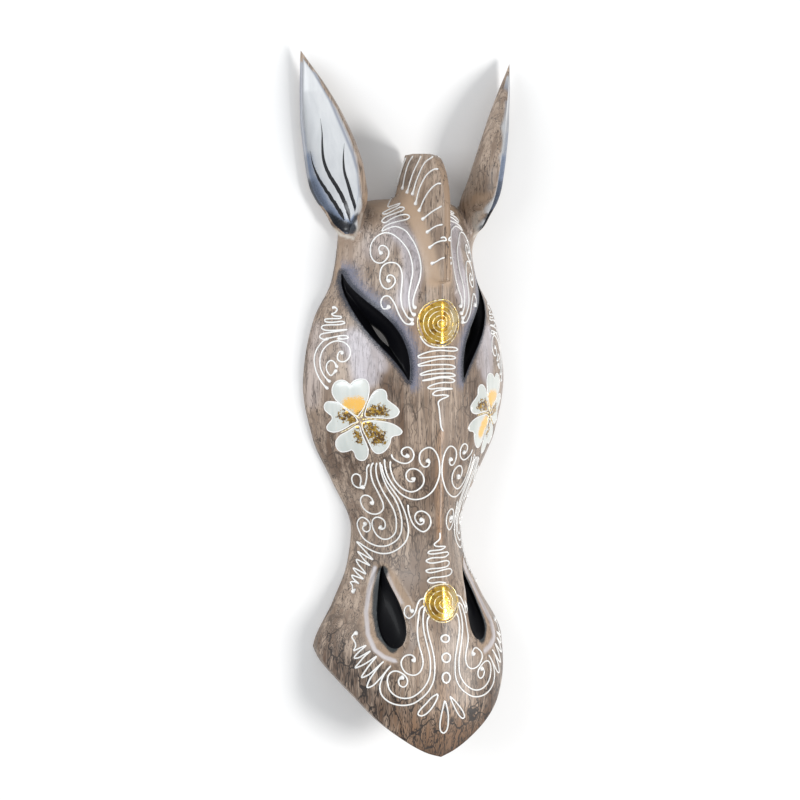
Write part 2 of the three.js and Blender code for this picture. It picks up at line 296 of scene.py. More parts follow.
def piece_from(bm, name, *materials):
    """Turns a bmesh in millimetres into an object in metres."""
    bmesh.ops.remove_doubles(bm, verts=bm.verts, dist=1e-4)
    bmesh.ops.recalc_face_normals(bm, faces=bm.faces)
    bmesh.ops.scale(bm, vec=(mm, mm, mm), verts=bm.verts)
    for face in bm.faces:
        face.smooth = True
    mesh = bpy.data.meshes.new(name)
    bm.to_mesh(mesh)
    bm.free()
    for material in materials:
        mesh.materials.append(material)
    piece = bpy.data.objects.new(name, mesh)
    bpy.context.scene.collection.objects.link(piece)
    return piece


head_bm = bmesh.new()
sheet(head_bm, 110, 300, face_point)
foot = bmesh.ops.extrude_edge_only(head_bm, edges=open_edges(head_bm))["geom"]
for v in foot:
    if isinstance(v, bmesh.types.BMVert):
        v.co.z = max(0.0, v.co.z - edge_at(v.co.y))
sheet(head_bm, 44, 120, hollow_point)
bmesh.ops.bridge_loops(head_bm, edges=open_edges(head_bm))

painted_wood = bpy.data.materials.new("painted_wood")
ear_inside = bpy.data.materials.new("ear_inside")
dark_hollow = bpy.data.materials.new("dark_hollow")
mask = piece_from(head_bm, "mask_body", painted_wood, ear_inside, dark_hollow)

hollow_bm = bmesh.new()
sheet(hollow_bm, 60, 120, hollow_point)
sheet(hollow_bm, 60, 120, lambda side, up: (*hollow_point(side, up)[:2], -edge))
bmesh.ops.bridge_loops(hollow_bm, edges=open_edges(hollow_bm))
hollow_tool = piece_from(hollow_bm, "hollow_tool", painted_wood)


# The crest is a fin along the crown, thin at its front and top edge and thicker towards its root.
# Seen from the side it has a notch at its foot, above the forehead.
crest_step = 8
crest_edge = 5
crest_flare = 0.54
crest_back = 8
crest_foot_y = 0.185 * long
crest_top_y = 0.362 * long


def skin(rings, start, end):
    """Closed skin over rings of equal count, drawn together to a point at each end."""
    bm = bmesh.new()
    count = len(rings[0])
    rows = [[start] * count, *rings, [end] * count]
    for v in bmesh.ops.create_grid(bm, x_segments=count, y_segments=len(rows) - 1, size=1)["verts"]:
        i = round((v.co.x + 1) / 2 * count)
        j = round((v.co.y + 1) / 2 * (len(rows) - 1))
        v.co = rows[j][i % count]
    bmesh.ops.remove_doubles(bm, verts=bm.verts, dist=1e-4)
    return bm


crest_front = ridge(crest_foot_y) + crest_step
crest_root = (mix(crest_foot_y, crest_top_y, 0.28), edge)
crest_profile = [
    (crest_foot_y, -crest_front / 2), (crest_foot_y, crest_front / 3), (crest_foot_y, crest_front * 0.8),
    (crest_foot_y, crest_front * 0.985), (crest_foot_y + 0.6, crest_front),
    (mix(crest_foot_y, crest_top_y, 0.33), crest_front), (mix(crest_foot_y, crest_top_y, 0.62), crest_front),
    (mix(crest_foot_y, crest_top_y, 0.72), crest_front * 0.985),
    (mix(crest_foot_y, crest_top_y, 0.79), crest_front * 0.96),
    (mix(crest_foot_y, crest_top_y, 0.87), crest_front * 0.915),
    (mix(crest_foot_y, crest_top_y, 0.93), crest_front * 0.86),
    (mix(crest_foot_y, crest_top_y, 0.975), crest_front * 0.80),
    (crest_top_y, crest_front * 0.735), (crest_top_y * 1.01, crest_front * 0.55),
    (crest_top_y * 1.012, crest_front * 0.3), (crest_top_y * 1.005, 0), (crest_top_y, -crest_front / 2),
]


def along_profile(points, count):
    """Points spread evenly along a closed outline."""
    closed = points + points[:1]
    run = [0.0]
    for a, b in zip(closed, closed[1:]):
        run.append(run[-1] + math.dist(a, b))
    spread = []
    for k in range(count):
        at = run[-1] * k / count
        i = bisect_right(run, at) - 1
        t = (at - run[i]) / (run[i + 1] - run[i])
        spread.append(tuple(mix(p, q, t) for p, q in zip(closed[i], closed[i + 1])))
    return spread


crest_outline = along_profile(crest_profile, 200)
crest_reach = crest_edge / 2 + crest_flare / 2 * (crest_front - edge)


def crest_ring(share, handed):
    """A ring of the crest's side: 0 at its thin edge, 1 at its thick root."""
    x = mix(crest_edge / 2, crest_reach, share) * handed
    return [
        (x, mix(y, crest_root[0], share), mix(z, crest_root[1], share)) for y, z in crest_outline
    ]


shares = [k / 30 for k in range(30)]
crest_rings = [crest_ring(s, -1) for s in reversed(shares)] + [crest_ring(s, 1) for s in shares]
crest_bm = skin(crest_rings, (-crest_reach, *crest_root), (crest_reach, *crest_root))
cut = bmesh.ops.bisect_plane(
    crest_bm, geom=crest_bm.verts[:] + crest_bm.edges[:] + crest_bm.faces[:],
    plane_co=(0, 0, crest_back), plane_no=(0, 0, -1), clear_outer=True,
)
bmesh.ops.edgeloop_fill(crest_bm, edges=[e for e in cut["geom_cut"] if isinstance(e, bmesh.types.BMEdge)])
crest = piece_from(crest_bm, "crest", painted_wood)


# The ears stand up from the crown as tall leaves, turned outwards and hollowed to a thin rim.
# The left one ends a little higher than the right one, as in the photograph.
ear_width = 44
ear_flare = 31.4
ear_turn = math.radians(56)
ear_rim = 2.2
ear_wall = 8
ear_root = 0.236 * long
left_ear_lift = 5
neck_half = half_width(ear_root)
ear_stations = [
    (-0.14, -0.25, 3, 0.01, 0.50),
    (-0.10, -0.25, 3, 0.24, 0.50),
    (0.00, -0.10, 4, 0.30, 0.90),
    (0.045, 0.02, 7.5, 0.31, 0.90),
    (0.09, 0.24, 10, 0.42, 0.90),
    (0.16, 0.42, 10.5, 0.58, 0.85),
    (0.24, 0.66, 8.5, 0.85, 0.70),
    (0.30, 0.775, 7.2, 0.965, 0.60),
    (0.40, 0.863, 6.8, 1.00, 0.52),
    (0.515, 0.93, 6.8, 0.94, 0.48),
    (0.66, 0.987, 6.8, 0.765, 0.46),
    (0.82, 1.00, 7.5, 0.455, 0.45),
    (0.955, 0.99, 8.0, 0.12, 0.45),
    (1.0, 0.98, 8.1, 0.005, 0.45),
]
ear_spread, ear_rise, ear_chord, ear_swell = (
    curve_through([(s[0], s[key]) for s in ear_stations]) for key in (1, 2, 3, 4)
)
chord_way = (math.cos(ear_turn), math.sin(ear_turn))


def ear_place(at, across, depth, handed):
    """A place on an ear: across from outer edge, -1, to inner edge, 1, and behind the opening."""
    step = ear_chord(at) * ear_width / 2 * (1 + across)
    outer = neck_half + ear_spread(at) * ear_flare
    return (
        handed * (outer - step * chord_way[0] - depth * chord_way[1]),
        mix(ear_root, long / 2 + (left_ear_lift if handed < 0 else 0), at),
        ear_rise(at) + step * chord_way[1] - depth * chord_way[0],
    )


def make_ear(handed):
    back_arc = 44
    front_line = 14
    rings = []
    for row in range(1, 90):
        at = mix(-0.14, 1.0, row / 90)
        swell = ear_swell(at) * ear_chord(at) * ear_width
        ring = []
        for k in range(back_arc + 1):
            turn = math.pi * k / back_arc
            ring.append(ear_place(at, -math.cos(turn), swell * math.sin(turn), handed))
        for k in range(1, front_line):
            ring.append(ear_place(at, 1 - 2 * k / front_line, 0, handed))
        rings.append(ring)
    bm = skin(rings, ear_place(-0.14, 0, 3, handed), ear_place(1, 0, 0, handed))
    cut = bmesh.ops.bisect_plane(
        bm, geom=bm.verts[:] + bm.edges[:] + bm.faces[:],
        plane_co=(0, 0, 0), plane_no=(0, 0, -1), clear_outer=True,
    )
    lowered = [e for e in cut["geom_cut"] if isinstance(e, bmesh.types.BMEdge)]
    if lowered:
        bmesh.ops.edgeloop_fill(bm, edges=lowered)
    return piece_from(bm, "ear", painted_wood)


def make_ear_opening(handed):
    dish_arc = 36
    rings = []
    for row in range(0, 81):
        at = mix(0.062, 0.962, row / 80)
        half = max(0.05, ear_chord(at) * ear_width / 2)
        share = max(0.05, (half - ear_rim) / half) * smooth_step(0.02, 0.13, at)
        share *= math.sqrt(clamp((0.972 - at) / 0.03))
        depth = max(ear_rim, ear_swell(at) * half * 2 - ear_wall)
        ring = []
        for k in range(dish_arc + 1):
            turn = math.pi * k / dish_arc
            ring.append(
                ear_place(at, -math.cos(turn) * share, depth * share * math.sin(turn) ** 0.8, handed)
            )
        for k in range(7):
            ring.append(ear_place(at, share * (1 - k / 3), -ear_width, handed))
        rings.append(ring)
    bm = skin(rings, ear_place(0.058, 0, -ear_rim, handed), ear_place(0.966, 0, -ear_rim, handed))
    return piece_from(bm, "ear_opening", ear_inside)


# Each eye is a leaf along an S-shaped line, carved in and cut right through by a narrow slit.
# It runs from high on the cheek down to the side of the ridge.
eye_width = 15.4
eye_slit = 0.25
eye_line = [
    Vector((0.108 * long, 0.198 * long)), Vector((0.11 * long, 0.132 * long)),
    Vector((0.056 * long, 0.116 * long)), Vector((0.044 * long, 0.044 * long)),
]


def eye_way(t):
    a, b, c, d = eye_line
    return a * (1 - t) ** 3 + b * 3 * t * (1 - t) ** 2 + c * 3 * t * t * (1 - t) + d * t ** 3


def eye_tangent(t):
    a, b, c, d = eye_line
    return ((b - a) * (1 - t) ** 2 + (c - b) * 2 * t * (1 - t) + (d - c) * t * t).normalized()


def eye_half(t):
    """Half the width along the eye, as a share of the whole, widest a little past the middle."""
    return math.sin(math.pi * t ** 1.22) ** 0.9 / 2


def eye_ring(start, end, width, sink, handed):
    half = 40
    ring = []
    for sign in (1, -1):
        line = []
        for k in range(half):
            t = (k + 0.5) / half
            p = eye_way(mix(start, end, t))
            along = eye_tangent(mix(start, end, t))
            out = sign * width * eye_half(t)
            line.append((p.x - along.y * out, p.y + along.x * out))
        ring += line if sign == 1 else line[::-1]
    return [
        (x * handed, y, -edge if sink is None else face_height(x, y) - sink) for x, y in ring
    ]


def make_eye(handed):
    middle = eye_way(0.52)
    slit = (0.47, 0.735, eye_width * eye_slit)
    height = face_height(*middle)
    bm = skin([
        eye_ring(0, 1, eye_width, -wall, handed), eye_ring(0, 1, eye_width, 0.5, handed),
        eye_ring(0.14, 0.9, eye_width * 0.8, wall * 0.45, handed),
        eye_ring(*slit, wall * 0.9, handed), eye_ring(*slit, None, handed),
    ], (middle.x * handed, middle.y, height + wall), (middle.x * handed, middle.y, -edge))
    return piece_from(bm, "eye", dark_hollow)


def make_nostril(handed):
    rings = []
    for share, sink in [(1, -wall), (1, scoop_depth * 0.8), (0.94, 7), (0.8, nostril_depth * 0.8),
                        (0.5, nostril_depth)]:
        ring = []
        for k in range(72):
            x, y = drop_outline(nostril_middle, nostril_long, nostril_width, 2 * math.pi * (k + 0.5) / 72)
            x, y = mix(nostril_middle[0], x, share), mix(nostril_middle[1], y, share)
            ring.append((x * handed, y, plain_height(x, y) - sink))
        rings.append(ring)
    height = plain_height(*nostril_middle)
    x, y = nostril_middle
    bm = skin(rings, (x * handed, y, height + wall), (x * handed, y, height - nostril_depth))
    return piece_from(bm, "nostril", dark_hollow)


def make_nail_hole():
    bm = bmesh.new()
    bmesh.ops.create_cone(bm, cap_ends=True, segments=32, radius1=3.5, radius2=3.5, depth=20)
    bmesh.ops.translate(bm, vec=(0, 0.27 * long, 0), verts=bm.verts)
    return piece_from(bm, "nail_hole", painted_wood)


# Ears and crest grow out of the head, and the openings are cut from the one block.
# Then the roots of ears and crest are softened, as sandpaper leaves them.
def cut_or_join(body, steps):
    for number, (operation, tool) in enumerate(steps):
        modifier = body.modifiers.new(f"step_{number}", "BOOLEAN")
        modifier.operation = operation
        modifier.object = tool
        modifier.solver = "MANIFOLD"
        modifier.material_mode = "TRANSFER"
    bpy.context.view_layer.update()
    made = bpy.data.meshes.new_from_object(body.evaluated_get(bpy.context.evaluated_depsgraph_get()))
    body.modifiers.clear()
    body.data = made
    return body


both_hands = (1, -1)
ears = []
for handed in both_hands:
    opening = make_ear_opening(handed)
    ears.append(cut_or_join(make_ear(handed), [("DIFFERENCE", opening), ("DIFFERENCE", hollow_tool)]))
    bpy.data.objects.remove(opening)
cut_or_join(crest, [("DIFFERENCE", hollow_tool)])
openings = [make(handed) for make in (make_eye, make_nostril) for handed in both_hands] + [make_nail_hole()]
cut_or_join(mask, [("UNION", limb) for limb in (crest, *ears)] + [("DIFFERENCE", tool) for tool in openings])
for tool in (hollow_tool, crest, *ears, *openings):
    bpy.data.objects.remove(tool)


def soften_roots(body, reach, rounds):
    """Rounds the inner corners where ears and crest grow out of the head."""
    bm = bmesh.new()
    bm.from_mesh(body.data)
    seam = []
    for e in bm.edges:
        if len(e.link_faces) != 2 or any(f.material_index for f in e.link_faces) or e.is_convex:
            continue
        middle = (e.verts[0].co + e.verts[1].co) / 2 / mm
        outside = abs(middle.x) > crest_edge and middle.z > edge * 2 and middle.y > 0.16 * long
        if outside and e.calc_face_angle(0) > math.radians(28):
            seam.append(middle)
    tree = KDTree(len(seam))
    for k, place in enumerate(seam):
        tree.insert(place, k)
    tree.balance()
    near = {}
    for v in bm.verts:
        if any(f.material_index for f in v.link_faces):
            continue
        share = 1 - smooth_step(0.25, 1, tree.find(v.co / mm)[2] / reach)
        if share > 0.01:
            near[v] = share
    for _ in range(rounds):
        moved = {}
        for v, share in near.items():
            around = [e.other_vert(v).co for e in v.link_edges]
            shift = (sum(around, Vector()) / len(around) - v.co) * 0.6 * share
            if shift.dot(v.normal) > 0:
                moved[v] = v.co + shift
        for v, place in moved.items():
            v.co = place
        bm.normal_update()
    bm.to_mesh(body.data)
    bm.free()


soften_roots(mask, reach=16, rounds=120)
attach(mask, "root")
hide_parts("mask")


# The wood is painted brown-grey and rubbed back so that grain and crackle stay dark, then sprayed
# in soft zones and lacquered. Some zones are painted highlights and painted reflections of the
# lacquer. The zones follow the left half of the photograph, mirrored.
def photo_pixel(place):
    """Pixel of the photograph in which a place of the left half, or its mirror image, is seen."""
    way = Vector((-abs(place.x), place.y, place.z)) - view_place
    far = way.dot(view_forward)
    return Vector((
        axis_pixel[0] + focal_pixels * way.dot(view_right) / far,
        axis_pixel[1] - focal_pixels * way.dot(view_up) / far,
    ))


def gap_to_line(point, line):
    nearest = 1e9
    for a, b in zip(line, line[1:]):
        way = b - a
        t = clamp((point - a).dot(way) / way.length_squared)
        nearest = min(nearest, (point - a - way * t).length)
    return nearest


spray_zones = {
    "bare": [
        (((372, 199), (379, 206), (388, 204), (396, 192)), 4, 11, 0.9),
        (((404, 196), (414, 214), (424, 240), (430, 262), (434, 280)), 4, 11, 1.0),
        (((350, 238), (345, 252), (338, 268)), 4, 16, 0.35),
        (((383, 572), (373, 596), (370, 618), (374, 640), (392, 656)), 4, 12, 0.5),
        (((391, 575), (402, 596), (410, 606)), 3, 8, 0.7),
    ],
    # Painted reflections: pale lilac patches where the lacquer mirrors a bright window, put into the colour.
    "painted_reflection": [
        (((355, 342), (362, 354), (366, 374)), 8, 20, 1.0),
        (((372, 344), (380, 366)), 4, 12, 0.9),
        (((394, 226), (410, 244), (414, 264), (406, 300)), 5, 15, 0.95),
        (((372, 250), (385, 240)), 4, 18, 0.35),
        (((360, 236), (352, 262)), 6, 20, 0.15),
        (((318, 330), (312, 400)), 3, 14, 0.3),
    ],
    "warm": [
        (((441, 432), (440, 470), (440, 540)), 1.5, 5.5, 0.8),
        (((446, 690), (442, 725)), 4, 16, 0.5),
        (((415, 728), (442, 735), (468, 715)), 5, 36, 0.4),
        (((420, 330), (430, 360)), 4, 14, 0.35),
    ],
    "dusk": [
        (((318, 650), (345, 690), (392, 735), (440, 755), (470, 730)), 2, 50, 1.0),
        (((425, 756), (445, 745)), 8, 50, 1.0),
        (((355, 480), (352, 530)), 3, 16, 0.7),
        (((330, 440), (350, 470), (380, 470)), 4, 26, 0.7),
        (((386, 390), (400, 420), (420, 470)), 4, 24, 0.7),
        (((336, 262), (322, 300), (306, 340)), 1, 5, 0.5),
        (((435, 455), (434, 540)), 2, 12, 0.4),
    ],
    "cracked": [
        (((345, 445), (385, 470), (420, 500), (400, 545), (362, 560)), 6, 46, 0.75),
        (((322, 650), (360, 690), (400, 720), (440, 735), (480, 700)), 12, 62, 1.0),
        (((395, 385), (415, 425)), 4, 26, 0.6),
    ],
    "rust": [
        (((428, 752), (444, 750), (456, 742)), 4, 42, 0.9),
    ],
    "smoke": [
        (((383, 571), (378, 590), (377, 612), (381, 634), (393, 648)), 3, 8, 1.0),
    ],
    "ear_smoke": [
        (((302, 132), (306, 160)), 0, 6, 0.3),
        (((306, 158), (312, 190)), 0, 12, 0.5),
        (((310, 184), (322, 208), (334, 220)), 0, 17, 0.75),
        (((324, 215), (338, 224), (350, 229)), 3, 11, 1.0),
        (((350, 226), (357, 216)), 1, 5, 0.8),
        (((358, 212), (360, 196)), 0, 4, 0.4),
    ],
    "ear_line": [
        (((300, 62), (300, 110), (303, 150), (309, 186)), 0, 5, 0.7),
        (((304, 58), (314.5, 73), (329.5, 99), (342.5, 129), (352.5, 153), (358.5, 174),
          (360, 196)), 0, 2.6, 0.8),
    ],
    "rim_white": [
        (((321, 216.5), (332, 228.5), (342, 235.5), (353, 238)), 0.8, 2.2, 0.9),
        (((354, 238), (359, 227), (362, 213)), 0.5, 2, 0.5),
    ],
    # Painted highlight: the bright band where the nostril scoops' walls catch the light.
    "painted_scoop_highlight": [
        (((375, 568), (369, 590), (366, 612), (368, 634), (375, 650), (384, 657),
          (395, 661)), 0.5, 3.6, 1.0),
        (((386, 571), (394, 589), (402, 603)), 0.5, 3, 0.6),
    ],
    "ear_white": [
        (((309, 80), (318, 110), (325, 140)), 9, 11, 1.0),
        (((318, 110), (327, 160)), 14, 16, 1.0),
        (((322, 140), (338, 190)), 20, 22, 1.0),
        (((342, 160), (347, 205)), 14, 16, 1.0),
        (((345, 200), (346, 212)), 11, 13, 1.0),
        (((350, 213), (351, 227)), 6, 8, 1.0),
        (((301, 66), (300.5, 95), (301.5, 120), (304, 150), (311, 188), (319, 205)), 3, 4.5, 1.0),
        (((326, 100), (341, 126), (350, 150), (355.5, 172), (357.5, 192), (357.5, 206)), 3, 4.5, 1.0),
    ],
}
spray_zones = {
    name: [([Vector(p) for p in line], *rest) for line, *rest in zones]
    for name, zones in spray_zones.items()
}
eye_samples = [(eye_way(k / 40), eye_width * eye_half(k / 40)) for k in range(41)]


def eye_gap(x, y):
    point = Vector((abs(x), y))
    return min((point - place).length - half for place, half in eye_samples)


def eye_side(x, y):
    """Above 0 on the side of the eye that lies towards the ridge."""
    point = Vector((abs(x), y))
    nearest = min(range(41), key=lambda k: (point - eye_samples[k][0]).length)
    along = eye_tangent(nearest / 40)
    way = point - eye_samples[nearest][0]
    return along.y * way.x - along.x * way.y


def seen_before(v):
    """True where the surface faces the photograph's camera, or does so in the mirror."""
    hand = 1 if v.co.x < 0 else -1
    place = Vector((v.co.x * hand, v.co.y, v.co.z))
    return Vector((v.normal.x * hand, v.normal.y, v.normal.z)).dot(view_place - place) > 0


values = {name: [] for name in (*spray_zones, "eye_smoke", "eye_blue", "fin_front")}
for v in mask.data.vertices:
    pixel = photo_pixel(v.co)
    x, y, z = v.co / mm
    in_view = seen_before(v)
    for name, zones in spray_zones.items():
        amount = 0.0
        for line, inner, outer, strength in zones:
            if abs(line[0].y - pixel.y) < 140:
                amount = max(amount, strength * (1 - smooth_step(inner, outer, gap_to_line(pixel, line))))
        values[name].append(amount if in_view else 0.0)
    near_eye = abs(y - 0.12 * long) < 0.12 * long and z > edge * 1.5
    gap = eye_gap(x, y) if near_eye else 99
    towards_ridge = gap < 20 and eye_side(x, y) > 0
    values["eye_smoke"].append(1 - smooth_step(0, 6, gap))
    values["eye_blue"].append(
        (1 - smooth_step(0, 14 if towards_ridge else 6, gap)) * (0.9 if towards_ridge else 0.25)
    )
    on_fin = y > crest_foot_y - 1 and z > ridge(min(y, 0.25 * long)) + 2 or y > 0.31 * long
    values["fin_front"].append(
        1.0 if on_fin and abs(x) < crest_edge / 2 + 0.3 and v.normal.z > -0.3 else 0.0
    )
for name, numbers in values.items():
    mask.data.attributes.new(name, "FLOAT", "POINT").data.foreach_set("value", numbers)


def node(tree, kind, inputs=None, **settings):
    made = tree.nodes.new("ShaderNode" + kind)
    for key, value in settings.items():
        setattr(made, key, value)
    for key, value in (inputs or {}).items():
        if isinstance(value, bpy.types.NodeSocket):
            tree.links.new(value, made.inputs[key])
        else:
            made.inputs[key].default_value = value
    return made


def math_node(tree, operation, a, b=0.0):
    return node(
        tree, "Math", {0: a, 1: b}, operation=operation, use_clamp=operation != "ABSOLUTE"
    ).outputs[0]


def fade(tree, value, start, end, low=0.0, high=1.0):
    made = node(tree, "MapRange", {"Value": value, "From Min": start, "From Max": end, "To Min": low,
                                   "To Max": high}, interpolation_type="SMOOTHSTEP")
    return made.outputs[0]


def blend(tree, share, a, b, kind="MIX"):
    return node(tree, "Mix", {0: share, 6: a, 7: b}, data_type="RGBA", blend_type=kind).outputs[2]


def noise(tree, vector, scale, detail=3.0, roughness=0.55, distortion=0.0):
    return node(tree, "TexNoise", {
        "Vector": vector, "Scale": scale, "Detail": detail, "Roughness": roughness, "Distortion": distortion,
    }).outputs["Fac"]


def painted(tree, name):
    return node(tree, "Attribute", attribute_name=name).outputs["Fac"]


def thin_line(tree, value, middle, width):
    gap = node(tree, "Math", {0: value, 1: middle}, operation="SUBTRACT").outputs[0]
    gap = node(tree, "Math", {0: gap}, operation="ABSOLUTE").outputs[0]
    return fade(tree, gap, 0.0, width, 1.0, 0.0)


grain = bpy.data.node_groups.new("grain", "ShaderNodeTree")
for socket, side, kind in [
    ("Vector", "INPUT", "NodeSocketVector"), ("Crackle", "INPUT", "NodeSocketFloat"),
    ("Lines", "OUTPUT", "NodeSocketFloat"), ("Tone", "OUTPUT", "NodeSocketFloat"),
    ("Speckle", "OUTPUT", "NodeSocketFloat"), ("Cracks", "OUTPUT", "NodeSocketFloat"),
]:
    grain.interface.new_socket(name=socket, in_out=side, socket_type=kind)
given = grain.nodes.new("NodeGroupInput")
given_vector = given.outputs["Vector"]
along = node(grain, "Mapping", {"Vector": given_vector, "Scale": (1, 0.065, 1)}).outputs[0]
wide_grain = noise(grain, along, 0.2, 3, 0.55, 0.35)
fine_grain = noise(grain, along, 0.5, 3, 0.55, 0.5)
patches = fade(grain, noise(grain, node(grain, "Mapping", {
    "Vector": given_vector, "Location": (31, 17, 5), "Scale": (1, 0.6, 1),
}).outputs[0], 0.05, 2), 0.36, 0.60)
shaken = node(grain, "VectorMath", {
    0: node(grain, "Mapping", {"Vector": given_vector, "Scale": (1, 0.32, 1)}).outputs[0],
    1: node(grain, "VectorMath", {
        0: node(grain, "TexNoise", {"Vector": given_vector, "Scale": 0.1, "Detail": 3.0}).outputs["Color"],
        1: (7.0, 7.0, 7.0),
    }, operation="MULTIPLY").outputs[0],
}, operation="ADD").outputs[0]
cells = node(grain, "TexVoronoi", {"Vector": shaken, "Scale": 0.115}, feature="DISTANCE_TO_EDGE").outputs[0]
crackle = math_node(grain, "MULTIPLY", fade(grain, cells, 0.012, 0.04, 1.0, 0.0), patches)
crackle = math_node(grain, "MULTIPLY", crackle, given.outputs["Crackle"])
streaks = math_node(grain, "MULTIPLY", thin_line(grain, wide_grain, 0.5, 0.019), 1.6)
hairs = math_node(
    grain, "MULTIPLY", thin_line(grain, fine_grain, 0.5, 0.03), fade(grain, wide_grain, 0.40, 0.52)
)
speckle = noise(grain, given_vector, 1.6, 3, 0.7)
all_lines = math_node(grain, "MAXIMUM", math_node(grain, "MAXIMUM", streaks, hairs), math_node(
    grain, "MULTIPLY", crackle, 0.6))
all_lines = math_node(grain, "MULTIPLY", all_lines, fade(grain, speckle, 0.3, 0.5, 0.5, 1.0))
deep = math_node(
    grain, "MAXIMUM", thin_line(grain, wide_grain, 0.44, 0.022), thin_line(grain, wide_grain, 0.56, 0.022)
)
deep = math_node(grain, "MAXIMUM", math_node(
    grain, "MAXIMUM", streaks, fade(grain, cells, 0.016, 0.055, 1.0, 0.0)), deep)
tone = math_node(grain, "ADD", math_node(grain, "MULTIPLY", wide_grain, 0.6), math_node(
    grain, "MULTIPLY", noise(grain, given_vector, 0.045, 3), 0.4))
finished = grain.nodes.new("NodeGroupOutput")
for name, value in [("Lines", all_lines), ("Tone", tone), ("Speckle", speckle), ("Cracks", deep)]:
    grain.links.new(value, finished.inputs[name])


def start_material(material, roughness, coat, coat_roughness=0.12):
    """Returns the material's nodes, its shader and the pattern coordinates in millimetres."""
    material.use_nodes = True
    tree = material.node_tree
    shader = tree.nodes["Principled BSDF"]
    shader.inputs["Roughness"].default_value = roughness
    shader.inputs["Coat Weight"].default_value = coat
    shader.inputs["Coat Roughness"].default_value = coat_roughness
    where = node(tree, "TexCoord").outputs["Object"]
    return tree, shader, node(tree, "Mapping", {"Vector": where, "Scale": (1 / mm,) * 3}).outputs[0]


def grain_in(tree, vector, crackle):
    made = tree.nodes.new("ShaderNodeGroup")
    made.node_tree = grain
    tree.links.new(vector, made.inputs["Vector"])
    made.inputs["Crackle"].default_value = crackle
    return made.outputs


def roughen(tree, shader, height, strength, distance):
    bump = node(tree, "Bump", {"Height": height, "Strength": strength, "Distance": distance * mm})
    tree.links.new(bump.outputs[0], shader.inputs["Normal"])


tree, shader, vector = start_material(painted_wood, 0.42, 0.22, 0.28)
shader.inputs["Specular IOR Level"].default_value = 0.4
pattern = grain_in(tree, vector, 1.0)
colour = blend(
    tree, fade(tree, pattern["Tone"], 0.38, 0.62), (0.225, 0.158, 0.112, 1), (0.45, 0.345, 0.265, 1)
)
dusk = math_node(tree, "MULTIPLY", painted(tree, "dusk"), fade(tree, pattern["Tone"], 0.36, 0.58, 0.95, 0.3))
colour = blend(tree, dusk, colour, (0.088, 0.043, 0.021, 1))
colour = blend(tree, painted(tree, "rust"), colour, (0.10, 0.048, 0.022, 1))
colour = blend(tree, math_node(tree, "MULTIPLY", painted(tree, "warm"), 0.8), colour, (0.40, 0.235, 0.13, 1))
colour = blend(
    tree, math_node(tree, "MULTIPLY", painted(tree, "fin_front"), 0.8), colour, (0.35, 0.24, 0.16, 1)
)
# Painted reflection: the window's reflections in the lacquer are mixed in as pale lilac and veil the grain
# lines.
painted_reflection = math_node(tree, "MULTIPLY", painted(tree, "painted_reflection"), fade(tree, pattern["Tone"], 0.3, 0.6, 0.55, 1.0))
colour = blend(tree, math_node(tree, "MULTIPLY", painted_reflection, 0.85), colour, (0.57, 0.54, 0.585, 1))
lines = math_node(tree, "MULTIPLY", pattern["Lines"], fade(tree, painted(tree, "painted_reflection"), 0.0, 1.0, 1.0, 0.5))
lines = math_node(tree, "MULTIPLY", lines, 0.8)
lines = math_node(
    tree, "MAXIMUM", lines, math_node(tree, "MULTIPLY", pattern["Cracks"], painted(tree, "cracked"))
)
colour = blend(tree, lines, colour, (0.024, 0.015, 0.01, 1))
colour = blend(tree, painted(tree, "bare"), colour, (0.45, 0.32, 0.22, 1))
spray_grit = fade(tree, pattern["Speckle"], 0.35, 0.65, -0.22, 0.22)
blue = node(tree, "Math", {0: painted(tree, "eye_blue"), 1: spray_grit}, operation="ADD").outputs[0]
colour = blend(tree, fade(tree, blue, 0.05, 1.0, 0.0, 0.9), colour, (0.15, 0.172, 0.255, 1))
eye_smoke = node(tree, "Math", {0: painted(tree, "eye_smoke"), 1: spray_grit}, operation="ADD").outputs[0]
colour = blend(tree, fade(tree, eye_smoke, 0.25, 1.0), colour, (0.018, 0.022, 0.035, 1))
ear_lining = blend(tree, painted(tree, "ear_line"), (0.51, 0.52, 0.535, 1), (0.19, 0.20, 0.25, 1))
ear_lining = blend(
    tree, fade(tree, painted(tree, "ear_smoke"), 0.3, 0.8), ear_lining, (0.03, 0.035, 0.045, 1)
)
colour = blend(tree, painted(tree, "ear_white"), colour, ear_lining)
colour = blend(tree, painted(tree, "rim_white"), colour, (0.60, 0.56, 0.50, 1))
# Painted highlight along the nostril scoops' outer walls.
colour = blend(tree, fade(tree, painted(tree, "painted_scoop_highlight"), 0.0, 1.0, 0.0, 0.9), colour, (0.60, 0.565, 0.575, 1))
smoke = math_node(
    tree, "ADD", painted(tree, "smoke"), fade(tree, pattern["Speckle"], 0.35, 0.65, -0.15, 0.15)
)
colour = blend(tree, fade(tree, smoke, 0.2, 0.95), colour, (0.016, 0.021, 0.024, 1))
tree.links.new(colour, shader.inputs["Base Color"])
tree.links.new(fade(tree, pattern["Speckle"], 0.3, 0.7, 0.36, 0.52), shader.inputs["Roughness"])
roughen(tree, shader, math_node(tree, "SUBTRACT", 1.0, pattern["Lines"]), 0.5, 0.12)

tree, shader, vector = start_material(ear_inside, 0.42, 0.2)
pattern = grain_in(tree, vector, 0.2)
colour = blend(tree, fade(tree, pattern["Tone"], 0.35, 0.65), (0.60, 0.61, 0.62, 1), (0.68, 0.685, 0.69, 1))
colour = blend(tree, painted(tree, "ear_line"), colour, (0.19, 0.205, 0.27, 1))
shade = math_node(
    tree, "ADD", painted(tree, "ear_smoke"), fade(tree, pattern["Speckle"], 0.3, 0.7, -0.1, 0.1)
)
colour = blend(tree, fade(tree, shade, 0.0, 0.5), colour, (0.24, 0.29, 0.40, 1))
colour = blend(tree, fade(tree, shade, 0.4, 1.0), colour, (0.006, 0.007, 0.01, 1))
tree.links.new(colour, shader.inputs["Base Color"])
roughen(tree, shader, pattern["Speckle"], 0.15, 0.06)

